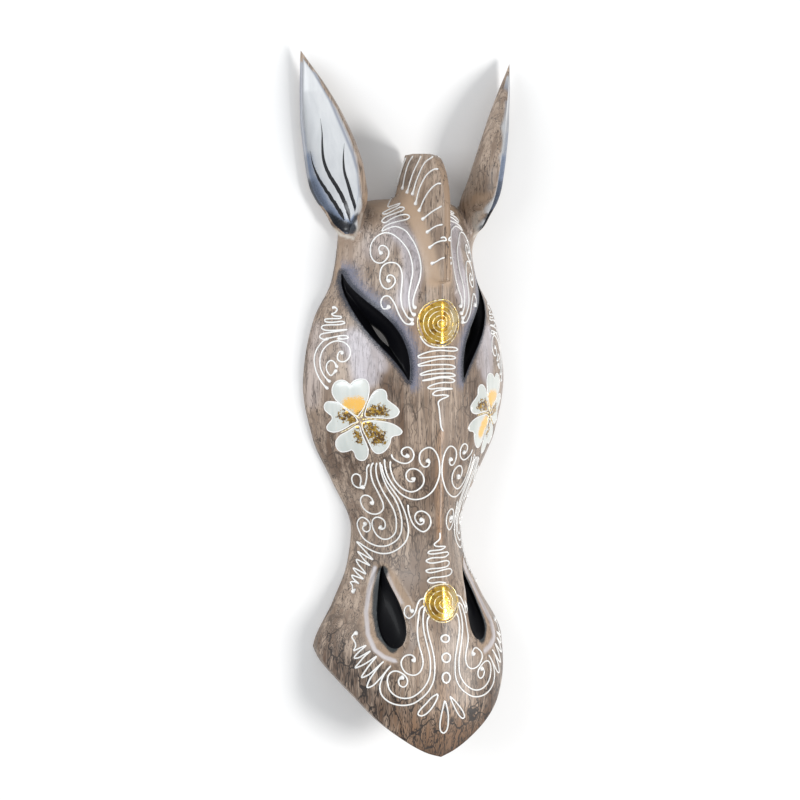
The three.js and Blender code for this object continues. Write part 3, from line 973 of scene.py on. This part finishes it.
tree, shader, vector = start_material(dark_hollow, 0.42, 0.03, 0.03)
shader.inputs["Specular IOR Level"].default_value = 0.1
pattern = grain_in(tree, vector, 0.0)
tree.links.new(blend(tree, pattern["Speckle"], (0.001, 0.001, 0.0015, 1), (0.005, 0.005, 0.007, 1)),
               shader.inputs["Base Color"])
roughen(tree, shader, pattern["Tone"], 0.2, 0.3)


# The paint lines are squeezed from a fine nozzle, so they stand up as round white beads with a
# drop where the hand stops. The left half is followed in the photograph, the right half mirrors it.
bead = 0.6
step_pixels = 1.1
surface = BVHTree.FromObject(mask, bpy.context.evaluated_depsgraph_get())

forehead_strokes = [
    ((394, 196), (390, 201.5), (388, 207), (394, 205.6), (400.3, 203.6), (398, 206), (390, 209.3),
     (382.6, 213.6), (386, 214.2), (394, 210.6), (401, 207.2), (404.6, 208.4), (402, 210.9), (394, 213.9),
     (385, 217.6), (382, 221.6), (385.4, 222.8), (391, 219.4), (397, 216.6), (403, 214.8), (408, 215),
     (409.8, 217.2), (407, 219.4), (400, 221.2), (391, 223.6), (384.6, 227), (382.2, 231.2), (388, 228.6),
     (395, 226.6), (401.5, 228.4), (407, 232), (412, 239), (416, 246), (419, 254), (421, 264), (421, 272),
     (419.5, 280), (417, 287), (414.5, 294), (413, 301), (413.6, 306), (416, 308.6)),
    ((382.5, 254.4), (379.2, 250), (380, 246.7), (383.3, 245.5), (387, 247.6), (389, 252), (388, 257),
     (384.5, 261.5), (380, 263.2), (375, 261.5), (371.6, 256.6), (370.6, 250), (372, 243), (376, 237.4),
     (381, 234), (386, 232.8), (392, 234), (398, 238), (403, 243), (408, 250), (411, 258), (412.5, 266),
     (412.5, 274), (411, 282), (409.5, 290), (408.8, 298), (409.5, 306), (411.5, 312.5), (415.5, 315.5)),
    ((390.6, 281.6), (387.5, 279.6), (388, 276), (391, 275), (394.5, 277.5), (395.3, 282), (392.5, 286.5),
     (388, 289), (383.5, 287), (380.5, 281), (380.3, 274), (382, 267.5), (386, 263.8), (391, 262.5),
     (396.5, 263.5), (400, 267), (402, 273), (402.3, 281), (401.5, 289), (401, 298), (402, 306),
     (404.5, 312), (408, 317.5), (413.6, 320.4)),
    ((390, 305.4), (387, 308.6), (383.4, 308.6), (381.2, 303.5), (382, 298.8), (385.5, 296), (389, 296.3),
     (392.5, 300), (395.5, 305.5), (398, 312), (401, 318), (405, 323), (409, 324.3), (414, 322.8)),
]
cheek_strokes = [
    ((332.5, 308.5), (335, 307.3), (337.5, 309.5), (335.5, 312.5), (331.8, 314.2), (335, 316),
     (341.4, 316.6), (341, 318.4), (331, 318.8), (325.2, 319.4), (325.6, 321.6), (332, 322.4),
     (343, 321.4), (345, 323), (340, 324.6), (330, 325), (323, 325.8), (321.8, 328.2), (326, 330.3),
     (335, 330.4), (347, 329.6), (340, 331), (330, 332.5), (321.4, 334.4), (320, 337.2), (323.6, 339.3),
     (330, 338), (340, 336), (347, 335.8), (348.4, 337.6), (344, 339), (337.6, 338.4)),
    ((329, 338.4), (324.6, 340.4), (320, 345), (316, 352), (314.5, 360), (316, 370), (320, 379), (325, 386),
     (328.6, 389)),
    ((341.5, 354.6), (342.6, 352), (340, 351.6), (338, 354.6), (337.7, 358.5), (340, 361.3), (344.5, 361.5),
     (348.5, 358.5), (350.5, 353), (349.5, 347.5), (346, 343.5), (341, 341.3), (335, 341.3), (329, 344),
     (324, 349), (321, 355.5), (320.2, 362), (321, 368.5), (324, 375), (328, 380), (331, 382)),
    ((337.6, 368), (335, 362.8), (331.5, 360.5), (328, 362.5), (326.5, 367), (327.5, 371.5), (331.2, 375.6),
     (334, 373), (337, 369.5)),
]
fan_strokes = [
    ((369.5, 464), (367, 468), (367, 475), (366, 482), (364, 486.8), (360.6, 485.8), (361.2, 480),
     (359.8, 475.4), (356, 473.8), (353, 475.4), (352, 479), (353.5, 484), (357, 487), (361, 487.6),
     (364.6, 486.4)),
    ((373.5, 462.5), (371.5, 466), (371, 473), (373, 482), (377, 490), (380.5, 497), (383, 503),
     (383.5, 508), (381, 512), (376, 514), (370, 513), (364.5, 509), (361.2, 503), (361.2, 498),
     (364, 495.3), (368, 495.5), (371.5, 498), (373, 501.5), (371.4, 503.8)),
    ((377, 462.5), (376, 468), (377, 477), (380, 485), (384, 493), (389, 501), (393.5, 509), (396, 517),
     (396.5, 524), (396, 531), (393, 536), (388, 539), (383, 539), (378, 536), (374.5, 531),
     (372.5, 525), (373, 520), (376, 517.3), (380, 517.5), (384, 520), (385.5, 524), (385, 527.5),
     (382.5, 529), (379.6, 526)),
    ((380, 462), (381, 470), (384, 480), (389, 490), (395, 499), (399, 508), (401.5, 518), (402, 526),
     (401, 533), (398, 538.8), (393, 543), (386, 546), (378, 546), (371, 543.5), (364, 538.5), (359.5, 531),
     (357.5, 524), (359, 519.5), (362, 517.3), (366, 518.5), (369.5, 522), (370.6, 526.5), (370, 530),
     (367, 531.8), (364, 530.4), (363, 527.5), (365, 525), (365.8, 522)),
    ((381.2, 464), (383.5, 473), (387.5, 482), (393, 490), (398.5, 498), (402.5, 506), (406, 515),
     (408, 524), (408.5, 532), (406.5, 540), (402, 546), (395, 551), (388, 553.3), (380, 553.3),
     (372, 550.5), (365, 546.5), (360, 543), (357, 541.8), (362, 547.4), (368, 554), (373, 559.5),
     (368, 557.2), (362, 553.7), (358, 551.5), (361, 555.4), (365, 560.5), (370, 565.4), (364, 562.7),
     (356.6, 559.6), (359, 565), (363, 569.5), (366, 574), (361, 571.5), (353.5, 568), (357, 573),
     (363.5, 579), (358, 577.2), (352, 575.3), (353.8, 579), (359, 583.6), (355, 581.8), (350.6, 582.4),
     (352.6, 585.4), (353, 589.8), (355.4, 589.4), (352.2, 593)),
    ((384.5, 459), (385, 466), (387, 474), (390.5, 481), (395, 487.5), (400, 493), (406, 497),
     (413, 499.3), (420, 499), (427, 496), (433, 490.5), (437, 483), (439.3, 475), (439.5, 466),
     (438, 457), (434.5, 450.5), (430, 447.5), (425, 448.5), (420.5, 452.5), (419.3, 458), (420.5, 463),
     (424, 466.7), (428, 466), (429.3, 462.5), (426.4, 459.4)),
    ((390.5, 461), (390.3, 467), (392, 474), (395, 480.5), (399.5, 486), (405, 490), (411.5, 491.8),
     (417.5, 490), (422, 486), (424, 481), (423, 475.5), (419.5, 471), (414.5, 468.7), (409.5, 469.5),
     (406.3, 473.5), (406.5, 478), (409.5, 481.3), (413.4, 481), (413, 477)),
    ((391.5, 454), (392.5, 457.5), (396.5, 460.7), (402, 463), (407.5, 463), (412, 460), (413.8, 455.5),
     (412.5, 450.5), (409, 447.3), (404.5, 447.8), (401.5, 451), (402.5, 455), (406, 456.5), (409, 454.6)),
    ((408, 504.5), (408.5, 511), (410.5, 518), (413.5, 524.5), (418.5, 529.5), (423.5, 531.7), (428, 529),
     (430.7, 523.5), (430, 517.5), (426.5, 513), (421.5, 511), (417, 512.5), (415, 516.5), (416.5, 521.5),
     (420, 524.5), (423.5, 523), (423.4, 520.3), (419.6, 519.6)),
]
muzzle_strokes = [
    ((425, 598), (420, 600), (417.5, 604.5), (416, 610), (413.5, 615.5), (409, 618.3), (405, 615),
     (404.7, 610), (407, 606.3), (410, 606), (411, 610), (414, 611.5)),
    ((424, 605.5), (420, 609), (418.5, 617), (417.5, 628), (418, 638), (419.5, 647), (422, 656),
     (422.8, 664), (420.5, 671), (416, 674.7), (411, 675), (405.5, 672.5), (401.8, 667), (401.3, 661.5),
     (404, 657), (408, 655), (412, 655.3), (414.5, 658), (412.6, 662)),
    ((425, 606.5), (423.5, 613), (423, 622), (424, 632), (427, 645), (429.7, 657), (430.3, 668),
     (429, 678), (425, 686), (419, 692.5), (412, 697), (404, 698.3), (396, 696), (390, 690.5),
     (387.5, 683), (388, 676.5), (391.5, 672), (396, 671), (401.5, 673), (406, 677), (407.5, 681.5),
     (406, 685.5), (403, 687), (399.5, 685), (398.5, 681), (400, 678.5), (404, 677)),
    ((429.5, 615.5), (427.3, 620), (427.3, 628), (429, 637), (432, 648), (434.2, 660), (434.5, 672),
     (433, 682), (428, 691.5), (421, 698.5), (413, 703.5), (404, 705.3), (395, 704.3), (387, 700.5),
     (381.5, 694.5), (379.8, 687), (381.5, 680), (385, 673), (390.6, 666), (388, 669), (380, 678.5),
     (373, 685.5), (367.4, 687.4), (369, 681), (374, 673), (380, 665), (383.5, 661.5), (376, 668.4),
     (369, 674.5), (361.8, 677.4), (365, 671.5), (370, 664.5), (376.4, 656.4), (370, 660.8), (362, 665.5),
     (355.4, 667.8), (359, 663), (365, 656), (370.2, 651.2), (364, 654.7), (358, 658), (354.4, 657.8),
     (358, 653), (366, 645.6), (360, 648), (354, 650.6), (356, 646), (354.5, 641), (352.2, 637.4),
     (353.4, 635), (358, 632.5)),
]
middle_strokes = [
    ((420, 336), (424, 342), (429, 345.8), (436, 347.4), (445, 347.2), (455, 347.6), (457.4, 349.8),
     (452, 351), (440, 350.3), (428, 352), (418, 356), (418.4, 357.6), (426, 357.5), (440, 356),
     (452, 356), (455.4, 357.8), (452, 359), (440, 359), (428, 361.5), (418, 364.8), (418.6, 366),
     (426, 365.2), (440, 364.5), (451, 365), (455, 367.3), (452, 368.7), (440, 369), (428, 371),
     (420, 374.2), (421, 375.2), (430, 374), (445, 373), (452, 373.5), (455, 375.6), (450, 376.4),
     (440, 376.6), (430, 378.8), (422.5, 380.6), (430, 379.8), (440, 377.8), (450, 378.2),
     (454.5, 380.5), (452, 382.3), (442, 382.5), (432, 385), (427.7, 387.8), (431, 388.9), (440, 388),
     (452, 388.7), (444, 389.6), (436, 391), (432.6, 394.3), (436, 395.5), (443, 394.8), (448.4, 395.8),
     (444, 398), (440, 400), (438.2, 402.5), (439, 408), (440, 418), (441, 427), (443, 431.5)),
    ((440, 532.5), (439.5, 539), (434.2, 544.4), (436.4, 546.3), (445, 546.5), (441, 549.5), (430, 551),
     (428, 552.8), (431, 554), (440, 553), (447, 552), (448, 554), (444, 557), (432, 558),
     (426.2, 560.8), (430, 563), (438, 562.3), (446.6, 560.6), (448.8, 562.5), (447, 566), (440, 568),
     (430, 569), (426, 570.8), (429, 572.7), (437, 571.5), (446, 569), (450, 568.8), (451.5, 571),
     (449, 575), (440, 577), (431, 578), (427.6, 581.2), (431, 583), (440, 582), (446, 583)),
    ((437.8, 693.6), (432, 697), (426, 703.5), (419.5, 710.5), (418, 714.4), (421.6, 715.8), (427, 713),
     (433, 706), (437, 698.5), (437.8, 693.8)),
    ((444.5, 700.2), (443, 707), (441, 716), (439.8, 725), (440.6, 731), (443.5, 733), (446.5, 730),
     (448, 723), (448, 714), (446.5, 706), (444.8, 700.6)),
    ((449.6, 696), (454, 700), (459, 706), (463, 712), (464.2, 717), (462, 718.2), (458, 714), (454, 706.5),
     (451.5, 701), (449.8, 696.4)),
]
middle_rings = [((445, 638.5), 4.0, 3.6), ((446, 657.6), 4.1, 4.6), ((446, 677.6), 3.8, 5.2)]
crest_strokes = [
    ((397.3, 186.6), (401, 172), (406.3, 157.6)),
    ((402.6, 190), (405, 176), (409, 163), (413.4, 156)),
    ((407, 194), (413, 174), (421.6, 156)),
    ((412.5, 195.6), (417, 180), (425, 163), (433.4, 156.6)),
    ((415.5, 205.5), (420, 188), (427, 175), (434, 169.5), (438.6, 169)),
    ((419, 212), (425, 198), (432, 188), (438, 183.6), (441.4, 183.6)),
    ((422, 220), (432, 212), (442, 206)),
    ((426.5, 233), (433, 228), (438, 225.5), (443, 224.5)),
    ((429, 248.5), (435, 243.5), (441, 241), (446, 240.2), (444.5, 237.2), (440.8, 238)),
    ((431, 264), (436, 262), (441, 259), (444.6, 257.4)),
]


def smooth_path(points, step, closed=False):
    """Evenly stepped points of a smooth curve through the given ones."""
    points = [Vector(p) for p in points]
    ends = (points[-1], points[0]) if closed else (2 * points[0] - points[1], 2 * points[-1] - points[-2])
    chain = [ends[0], *points, ends[1]] if not closed else [points[-1], *points, points[0], points[1]]
    path = []
    for a, b, c, d in zip(chain, chain[1:], chain[2:], chain[3:]):
        count = max(1, round((c - b).length / step))
        first = (c - a) / max(1e-6, (b - a).length + (c - b).length) * (c - b).length
        second = (d - b) / max(1e-6, (c - b).length + (d - c).length) * (c - b).length
        for k in range(count):
            t = k / count
            path.append(
                b * (2 * t ** 3 - 3 * t * t + 1) + first * (t ** 3 - 2 * t * t + t)
                + c * (3 * t * t - 2 * t ** 3) + second * (t ** 3 - t * t)
            )
    if not closed:
        path.append(points[-1])
    return path


def on_mask(pixel):
    """The place where a pixel of the photograph falls on the mask, and the surface's normal there."""
    place, normal, _, _ = surface.ray_cast(view_place, pixel_ray(*pixel))
    return (place, normal) if place else None


def bead_path(pixels, closed=False):
    """A path just over the surface, in metres."""
    path = []
    for pixel in smooth_path(pixels, step_pixels, closed):
        found = on_mask(pixel)
        if found and (not path or (found[0] - path[-1]).length < 12 * mm):
            path.append(found[0] + found[1] * bead * 0.25 * mm)
    return path


def bead_widths(path, start, end, width=1.0):
    """Width along a bead, with a drop of paint at its ends and round tips."""
    run = [0.0]
    for a, b in zip(path, path[1:]):
        run.append(run[-1] + (b - a).length / mm)
    widths = []
    for at in run:
        here = width
        for size, gap in ((start, at), (end, run[-1] - at)):
            if size > 1:
                here = max(here, 1 + (size - 1) * (1 - smooth_step(0.8, 4.2, gap)))
        tip = min(at, run[-1] - at) / (bead * 1.3)
        widths.append(here * math.sqrt(1 - (1 - min(1, tip + 0.12)) ** 2))
    return widths


def pipe(name, beads, material, radius=bead):
    """Round beads along paths, each a list of places with a list of widths, as one mesh piece."""
    data = bpy.data.curves.new(name, "CURVE")
    data.dimensions = "3D"
    data.bevel_depth = radius * mm
    data.bevel_resolution = 2
    data.use_fill_caps = True
    for path, widths, closed in beads:
        spline = data.splines.new("POLY")
        spline.points.add(len(path) - 1)
        spline.use_cyclic_u = closed
        for point, place, width in zip(spline.points, path, widths):
            point.co = (*place, 1)
            point.radius = width
    line = bpy.data.objects.new(name + "_path", data)
    bpy.context.scene.collection.objects.link(line)
    bpy.context.view_layer.update()
    mesh = bpy.data.meshes.new_from_object(line.evaluated_get(bpy.context.evaluated_depsgraph_get()))
    bpy.data.objects.remove(line)
    bm = bmesh.new()
    bm.from_mesh(mesh)
    bmesh.ops.scale(bm, vec=(1 / mm,) * 3, verts=bm.verts)
    piece = piece_from(bm, name, material)
    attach(piece, "root")
    return piece


def mirrored(path):
    return [Vector((-p.x, p.y, p.z)) for p in path]


def strokes_on(strokes, start=1.9, end=1.9, both=True):
    beads = []
    for pixels in strokes:
        path = bead_path(pixels)
        widths = bead_widths(path, start, end)
        beads.append((path, widths, False))
        if both:
            beads.append((mirrored(path), widths, False))
    return beads


def brushed_paint(name, dark, light, roughness, coat):
    material = bpy.data.materials.new(name)
    tree, shader, vector = start_material(material, roughness, coat)
    pattern = grain_in(tree, vector, 0.0)
    colour = blend(tree, fade(tree, pattern["Speckle"], 0.3, 0.7), (*dark, 1), (*light, 1))
    tree.links.new(colour, shader.inputs["Base Color"])
    roughen(tree, shader, pattern["Speckle"], 0.2, 0.06)
    return material


white_paint = brushed_paint("white_paint", (0.80, 0.795, 0.78), (0.90, 0.895, 0.88), 0.25, 0.5)
for name, strokes, start, end, both in [
    ("forehead_lines", forehead_strokes, 3.0, 2.8, True), ("cheek_lines", cheek_strokes, 2.2, 2.2, True),
    ("fan_lines", fan_strokes, 1.2, 3.2, True), ("muzzle_lines", muzzle_strokes, 1.2, 3.2, True),
    ("crest_lines", crest_strokes, 2.6, 1.2, True), ("middle_lines", middle_strokes, 1.1, 1.1, False),
]:
    pipe(name, strokes_on(strokes, start, end, both), white_paint)

rings = []
for (middle_x, middle_y), across, up in middle_rings:
    circle = [
        (middle_x + across * math.cos(math.tau * k / 8), middle_y + up * math.sin(math.tau * k / 8))
        for k in range(8)
    ]
    path = bead_path(circle, closed=True)
    rings.append((path, [1.25] * len(path), True))
pipe("muzzle_rings", rings, white_paint)


# Each flower is five poured petals of thick white paint with a raised border, dabbed with gold
# leaf and brown varnish around its middle. The right one has spots of its own.
petal_rise = 0.7
petals = [
    ((357.3, 416), (349.3, 410), (342.7, 405.3), (336.3, 400), (333, 394.7), (332.3, 389.3), (334.7, 383.3),
     (340, 380.3), (345.3, 381), (350.3, 384.3), (354, 381), (360, 379), (366, 380), (368.7, 384.7),
     (369, 391.3), (368, 398), (366, 403.3), (363.3, 408.7), (360, 413.3)),
    ((365.3, 416), (366.7, 407.3), (369.3, 400), (372.7, 394), (376.7, 390.3), (381.3, 389.3),
     (385.3, 391.3), (386.7, 395.3), (387, 399.3), (390.7, 402.7), (395.3, 406), (398.7, 410),
     (398.3, 414), (394.7, 417), (388.7, 418.3), (380, 417.7), (372, 417.3)),
    ((362.7, 422.7), (370.7, 420.7), (380, 421.3), (386.7, 422.3), (394, 424.7), (400, 428.7), (402, 432),
     (399.3, 434.7), (394, 435.7), (391, 438), (390, 442.7), (387.3, 448), (382.7, 452.3), (377.3, 453.3),
     (373.3, 450.7), (370, 444.7), (366.7, 437.3), (362.7, 428.7)),
    ((359.3, 426), (361.3, 432), (363.3, 437.3), (366, 443.3), (368, 449.3), (367.7, 455.3), (364.7, 459.7),
     (360, 460), (356.3, 457.3), (354.7, 452.7), (352, 449.7), (348, 451), (342, 451.7), (338, 449.3),
     (336, 444.7), (336.7, 440), (340.7, 435.3), (346.7, 432), (352, 428.7), (356, 426)),
    ((357.3, 421.3), (352, 424), (346.7, 427.3), (340, 430.7), (333.3, 432), (328, 430), (327, 426.7),
     (329.3, 423.3), (332.3, 419.3), (332, 416), (328.7, 413.3), (325, 409.3), (324.7, 404.7), (327.3, 402),
     (332.7, 401.7), (339.3, 403.3), (345.3, 408.7), (350.7, 412.7), (355.3, 416.7)),
]
petal_zones = {
    "leaf": [
        (((363, 417), (374, 410), (383, 411)), 2, 10, 1.0), (((362, 422), (369, 430),
          (378, 438)), 4, 13, 1.0),
        (((359, 424), (357, 432), (359, 440)), 1, 8, 0.85), (((357, 419), (344, 416)), 2, 10, 1.0),
    ],
    "glow": [(((349, 404), (359, 403), (360, 412)), 3, 10, 1.0)],
}
right_petal_zones = {
    "leaf": [
        (((363, 417), (374, 410), (383, 411)), 2, 10, 1.0), (((359, 424), (357, 432),
          (359, 440)), 1, 8, 0.85),
        (((357, 419), (344, 416)), 2, 10, 1.0),
    ],
    "glow": [
        (((349, 404), (359, 403), (360, 412)), 3, 10, 1.0), (((366, 427), (373, 431),
          (377, 438)), 3, 9, 1.0),
    ],
}


def gather(name, shapes, material):
    """One mesh piece from closed skins, each given as rings, start and end in millimetres."""
    whole = bmesh.new()
    for rings, start, end in shapes:
        part = skin(rings, start, end)
        bmesh.ops.recalc_face_normals(part, faces=part.faces)
        mesh = bpy.data.meshes.new(name + "_part")
        part.to_mesh(mesh)
        part.free()
        whole.from_mesh(mesh)
        bpy.data.meshes.remove(mesh)
    piece = piece_from(whole, name, material)
    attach(piece, "root")
    return piece


def mirror_shape(shape):
    rings, start, end = shape
    return (
        [[Vector((-p.x, p.y, p.z)) for p in ring] for ring in rings],
        Vector((-start.x, start.y, start.z)), Vector((-end.x, end.y, end.z)),
    )


def poured(middle, outline, find, rise):
    """A low closed film of paint over the surface, within an outline around its middle."""
    def place(at, height):
        found = find(at)
        return found[0] / mm + found[1] * height

    profile_steps = [(k / 9, rise * math.sqrt(1 - (k / 9) ** 6)) for k in range(1, 9)]
    profile_steps += [(0.97, rise * 0.6), (1.0, 0.0), (1.0, -0.5), (0.6, -0.7)]
    rings = [[place(middle.lerp(p, share), height) for p in outline] for share, height in profile_steps]
    return rings, place(middle, rise), place(middle, -0.8)


petal_shapes = []
petal_borders = []
for outline in petals:
    path = smooth_path(outline, 1.2, closed=True)
    middle = sum(path, Vector((0, 0))) / len(path)
    shape = poured(middle, path, on_mask, petal_rise)
    petal_shapes += [shape, mirror_shape(shape)]
    border = bead_path(outline, closed=True)
    petal_borders += [(border, [0.8] * len(border), True), (mirrored(border), [0.8] * len(border), True)]
petal_paint = bpy.data.materials.new("petal_paint")
flowers = gather("flowers", petal_shapes, petal_paint)
for name in petal_zones:
    numbers = []
    for v in flowers.data.vertices:
        pixel = photo_pixel(v.co)
        zones = right_petal_zones if v.co.x > 0 else petal_zones
        numbers.append(max(
            strength * (1 - smooth_step(inner, outer, gap_to_line(pixel, [Vector(p) for p in line])))
            for line, inner, outer, strength in zones[name]
        ))
    flowers.data.attributes.new(name, "FLOAT", "POINT").data.foreach_set("value", numbers)
pipe("petal_borders", petal_borders, white_paint)

tree, shader, vector = start_material(petal_paint, 0.3, 0.5)
pattern = grain_in(tree, vector, 0.0)
colour = blend(tree, fade(tree, pattern["Tone"], 0.35, 0.65), (0.55, 0.585, 0.56, 1), (0.65, 0.67, 0.64, 1))
glow = node(
    tree, "Math", {0: painted(tree, "glow"), 1: fade(tree, pattern["Speckle"], 0.34, 0.66, -0.5, 0.35)}
)
glow = fade(tree, glow.outputs[0], 0.2, 0.75)
colour = blend(tree, glow, colour, (0.84, 0.47, 0.08, 1))
ragged = fade(tree, noise(tree, vector, 0.36, 5, 0.8), 0.34, 0.66, -0.7, 0.45)
leaf = node(tree, "Math", {0: painted(tree, "leaf"), 1: ragged}, operation="ADD").outputs[0]
leaf = fade(tree, leaf, 0.44, 0.54)
gold_or_brown = fade(tree, noise(tree, vector, 0.45, 5, 0.75), 0.48, 0.54)
colour = blend(
    tree, leaf, colour, blend(tree, gold_or_brown, (0.085, 0.04, 0.006, 1), (0.62, 0.37, 0.06, 1))
)
tree.links.new(colour, shader.inputs["Base Color"])
tree.links.new(math_node(tree, "MULTIPLY", leaf, gold_or_brown), shader.inputs["Metallic"])
roughen(tree, shader, pattern["Speckle"], 0.25, 0.15)


# Gold leaf is laid over two coils of squeezed paint on the ridge, one between the eyes and one
# between the nostrils, and over the rays in the flowers.
gold_leaf = bpy.data.materials.new("gold_leaf")
tree, shader, vector = start_material(gold_leaf, 0.25, 0.3)
wrinkle = noise(tree, vector, 0.35, 4, 0.6)
patch = fade(tree, noise(tree, vector, 0.16, 3, 0.6), 0.34, 0.46)
colour = blend(tree, fade(tree, wrinkle, 0.38, 0.6), (0.56, 0.31, 0.03, 1), (0.86, 0.57, 0.12, 1))
colour = blend(tree, patch, (0.30, 0.15, 0.02, 1), colour)
# Painted reflection: right of the ridge the gold is blended to a pale gold, where the light mirrors in it.
across = node(tree, "SeparateXYZ", {"Vector": vector}).outputs["X"]
colour = blend(tree, fade(tree, across, 3.0, 11.0, 0.0, 0.6), colour, (0.86, 0.78, 0.56, 1))
tree.links.new(colour, shader.inputs["Base Color"])
tree.links.new(fade(tree, wrinkle, 0.3, 0.7, 0.75, 0.95), shader.inputs["Metallic"])
roughen(tree, shader, wrinkle, 0.35, 0.5)

pale_gold = bpy.data.materials.new("pale_gold")
tree, shader, vector = start_material(pale_gold, 0.25, 0.5)
worn = fade(tree, noise(tree, vector, 0.4, 3, 0.6), 0.42, 0.58)
tree.links.new(
    blend(tree, worn, (0.82, 0.60, 0.20, 1), (0.90, 0.83, 0.64, 1)), shader.inputs["Base Color"])
tree.links.new(fade(tree, worn, 0.0, 1.0, 0.7, 0.1), shader.inputs["Metallic"])


def over_mask(place):
    found, normal, _, _ = surface.ray_cast(Vector((place[0] * mm, place[1] * mm, 1)), Vector((0, 0, -1)))
    return found, normal


def coil_point(middle_y, radius, turn):
    return Vector((radius * math.cos(turn), middle_y + radius * math.sin(turn)))


def make_coil(name, middle_y, radius, turns):
    outline = [
        coil_point(middle_y, radius * (0.93 + 0.03 * math.sin(5 * t) + 0.02 * math.sin(3 * t + 1)), t)
        for t in (math.tau * k / 90 for k in range(90))
    ]
    gather(name + "_leaf", [poured(Vector((0, middle_y)), outline, over_mask, 0.22)], gold_leaf)
    spiral = []
    for k in range(turns * 48):
        share = (k + 1) / (turns * 48)
        found = over_mask(coil_point(middle_y, mix(1.2, radius * 0.86, share), math.tau * turns * share))
        spiral.append(found[0] + found[1] * 0.4 * mm)
    lines = pipe(name + "_spiral", [(spiral, bead_widths(spiral, 1.6, 1.0), False)], pale_gold, 0.34)
    loop = []
    for k in range(100):
        found = over_mask(coil_point(middle_y, radius, math.tau * k / 100))
        loop.append(found[0] + found[1] * 0.15 * mm)
    pipe(name + "_loop", [(loop, [0.8] * len(loop), True)], pale_gold)


make_coil("upper_coil", 63.5, 16.4, 4)
make_coil("lower_coil", -137, 13.6, 3)

petal_rays = [
    ((360, 418.5), (357, 416), (350, 409.8), (344, 405.4)), ((361, 418), (363, 412), (366, 404), (368, 399)),
    ((362, 419.5), (370, 418.8), (378, 419.4), (386, 420)), ((361, 421), (363, 428), (367, 438), (369, 443)),
    ((359, 421), (354, 425), (347, 429.6), (341, 432.4)),
]
rays = strokes_on(petal_rays, 1.8, 1.0)
pipe("flower_rays", rays, pale_gold, 0.45)


# Three black hairs are brushed on the inside of each ear.
# Each is a thin stroke, broad at its foot and drawn out to a point.
hair_rise = 0.16
hair_half = 1.7
ear_hairs = [
    ((320.3, 118.5), (322, 131.6), (322.4, 148.6), (324, 161.6), (329.2, 174.7), (335.8, 185.2),
     (342.3, 197), (347.6, 210), (350.2, 222)),
    ((310.3, 151.2), (312.9, 164.3), (318.8, 178.7), (325.3, 189.1), (333.2, 200.9), (339.7, 211.4),
     (344.3, 220)),
    ((344.3, 143.3), (343.4, 157.7), (344.3, 170.8), (347.6, 182.6), (351.5, 195.7), (355, 207), (355, 213)),
]
black_paint = brushed_paint("black_paint", (0.004, 0.004, 0.006), (0.012, 0.012, 0.015), 0.35, 0.2)
hairs = []
for pixels in ear_hairs:
    path = [found for found in (on_mask(p) for p in smooth_path(pixels, 1.6)) if found]
    rings = []
    for k, (place, normal) in enumerate(path):
        before, after = path[max(0, k - 1)][0], path[min(len(path) - 1, k + 1)][0]
        side = (after - before).cross(normal).normalized()
        share = k / (len(path) - 1)
        taper = min(1, (1.02 - share) * 9)
        half = hair_half * max(0.04, math.sin(math.pi * min(0.86, share) * 0.58)) * taper
        rings.append([
            place / mm + side * half * math.cos(math.tau * n / 12)
            + normal * hair_rise * math.sin(math.tau * n / 12)
            for n in range(12)
        ])
    shape = (rings, path[0][0] / mm, path[-1][0] / mm)
    hairs += [shape, mirror_shape(shape)]
gather("ear_hairs", hairs, black_paint)


# The mask lies on a plain white floor. A soft lamp lights it from the right, and a window from
# the left.
floor_bm = bmesh.new()
bmesh.ops.create_grid(floor_bm, x_segments=1, y_segments=1, size=4 / mm)
floor_paint = bpy.data.materials.new("floor_paint")
floor_paint.use_nodes = True
floor_shader = floor_paint.node_tree.nodes["Principled BSDF"]
floor_shader.inputs["Base Color"].default_value = (0.8, 0.8, 0.8, 1)
floor_shader.inputs["Roughness"].default_value = 0.8
floor_shader.inputs["Emission Color"].default_value = (1, 1, 1, 1)
floor_shader.inputs["Emission Strength"].default_value = 0.08
floor = piece_from(floor_bm, "floor", floor_paint)

world = bpy.data.worlds.new("soft_room")
bpy.context.scene.world = world
bpy.context.scene.view_settings.view_transform = "Standard"
world.use_nodes = True
world.node_tree.nodes["Background"].inputs["Color"].default_value = (0.96, 0.98, 1, 1)
world.node_tree.nodes["Background"].inputs["Strength"].default_value = 0.48


def soft_light(name, place, size, watts, colour):
    lamp = bpy.data.lights.new(name, "AREA")
    lamp.size = size
    lamp.energy = watts
    lamp.color = colour
    light = bpy.data.objects.new(name, lamp)
    bpy.context.scene.collection.objects.link(light)
    light.location = place
    light.rotation_euler = (-Vector(place)).to_track_quat("-Z", "Y").to_euler()
    return light


soft_light("right_lamp", (0.85, -0.36, 1.1), 0.45, 15, (1, 0.985, 0.965))
soft_light("left_window", (-1.3, 0.4, 0.75), 0.8, 15, (0.94, 0.97, 1))
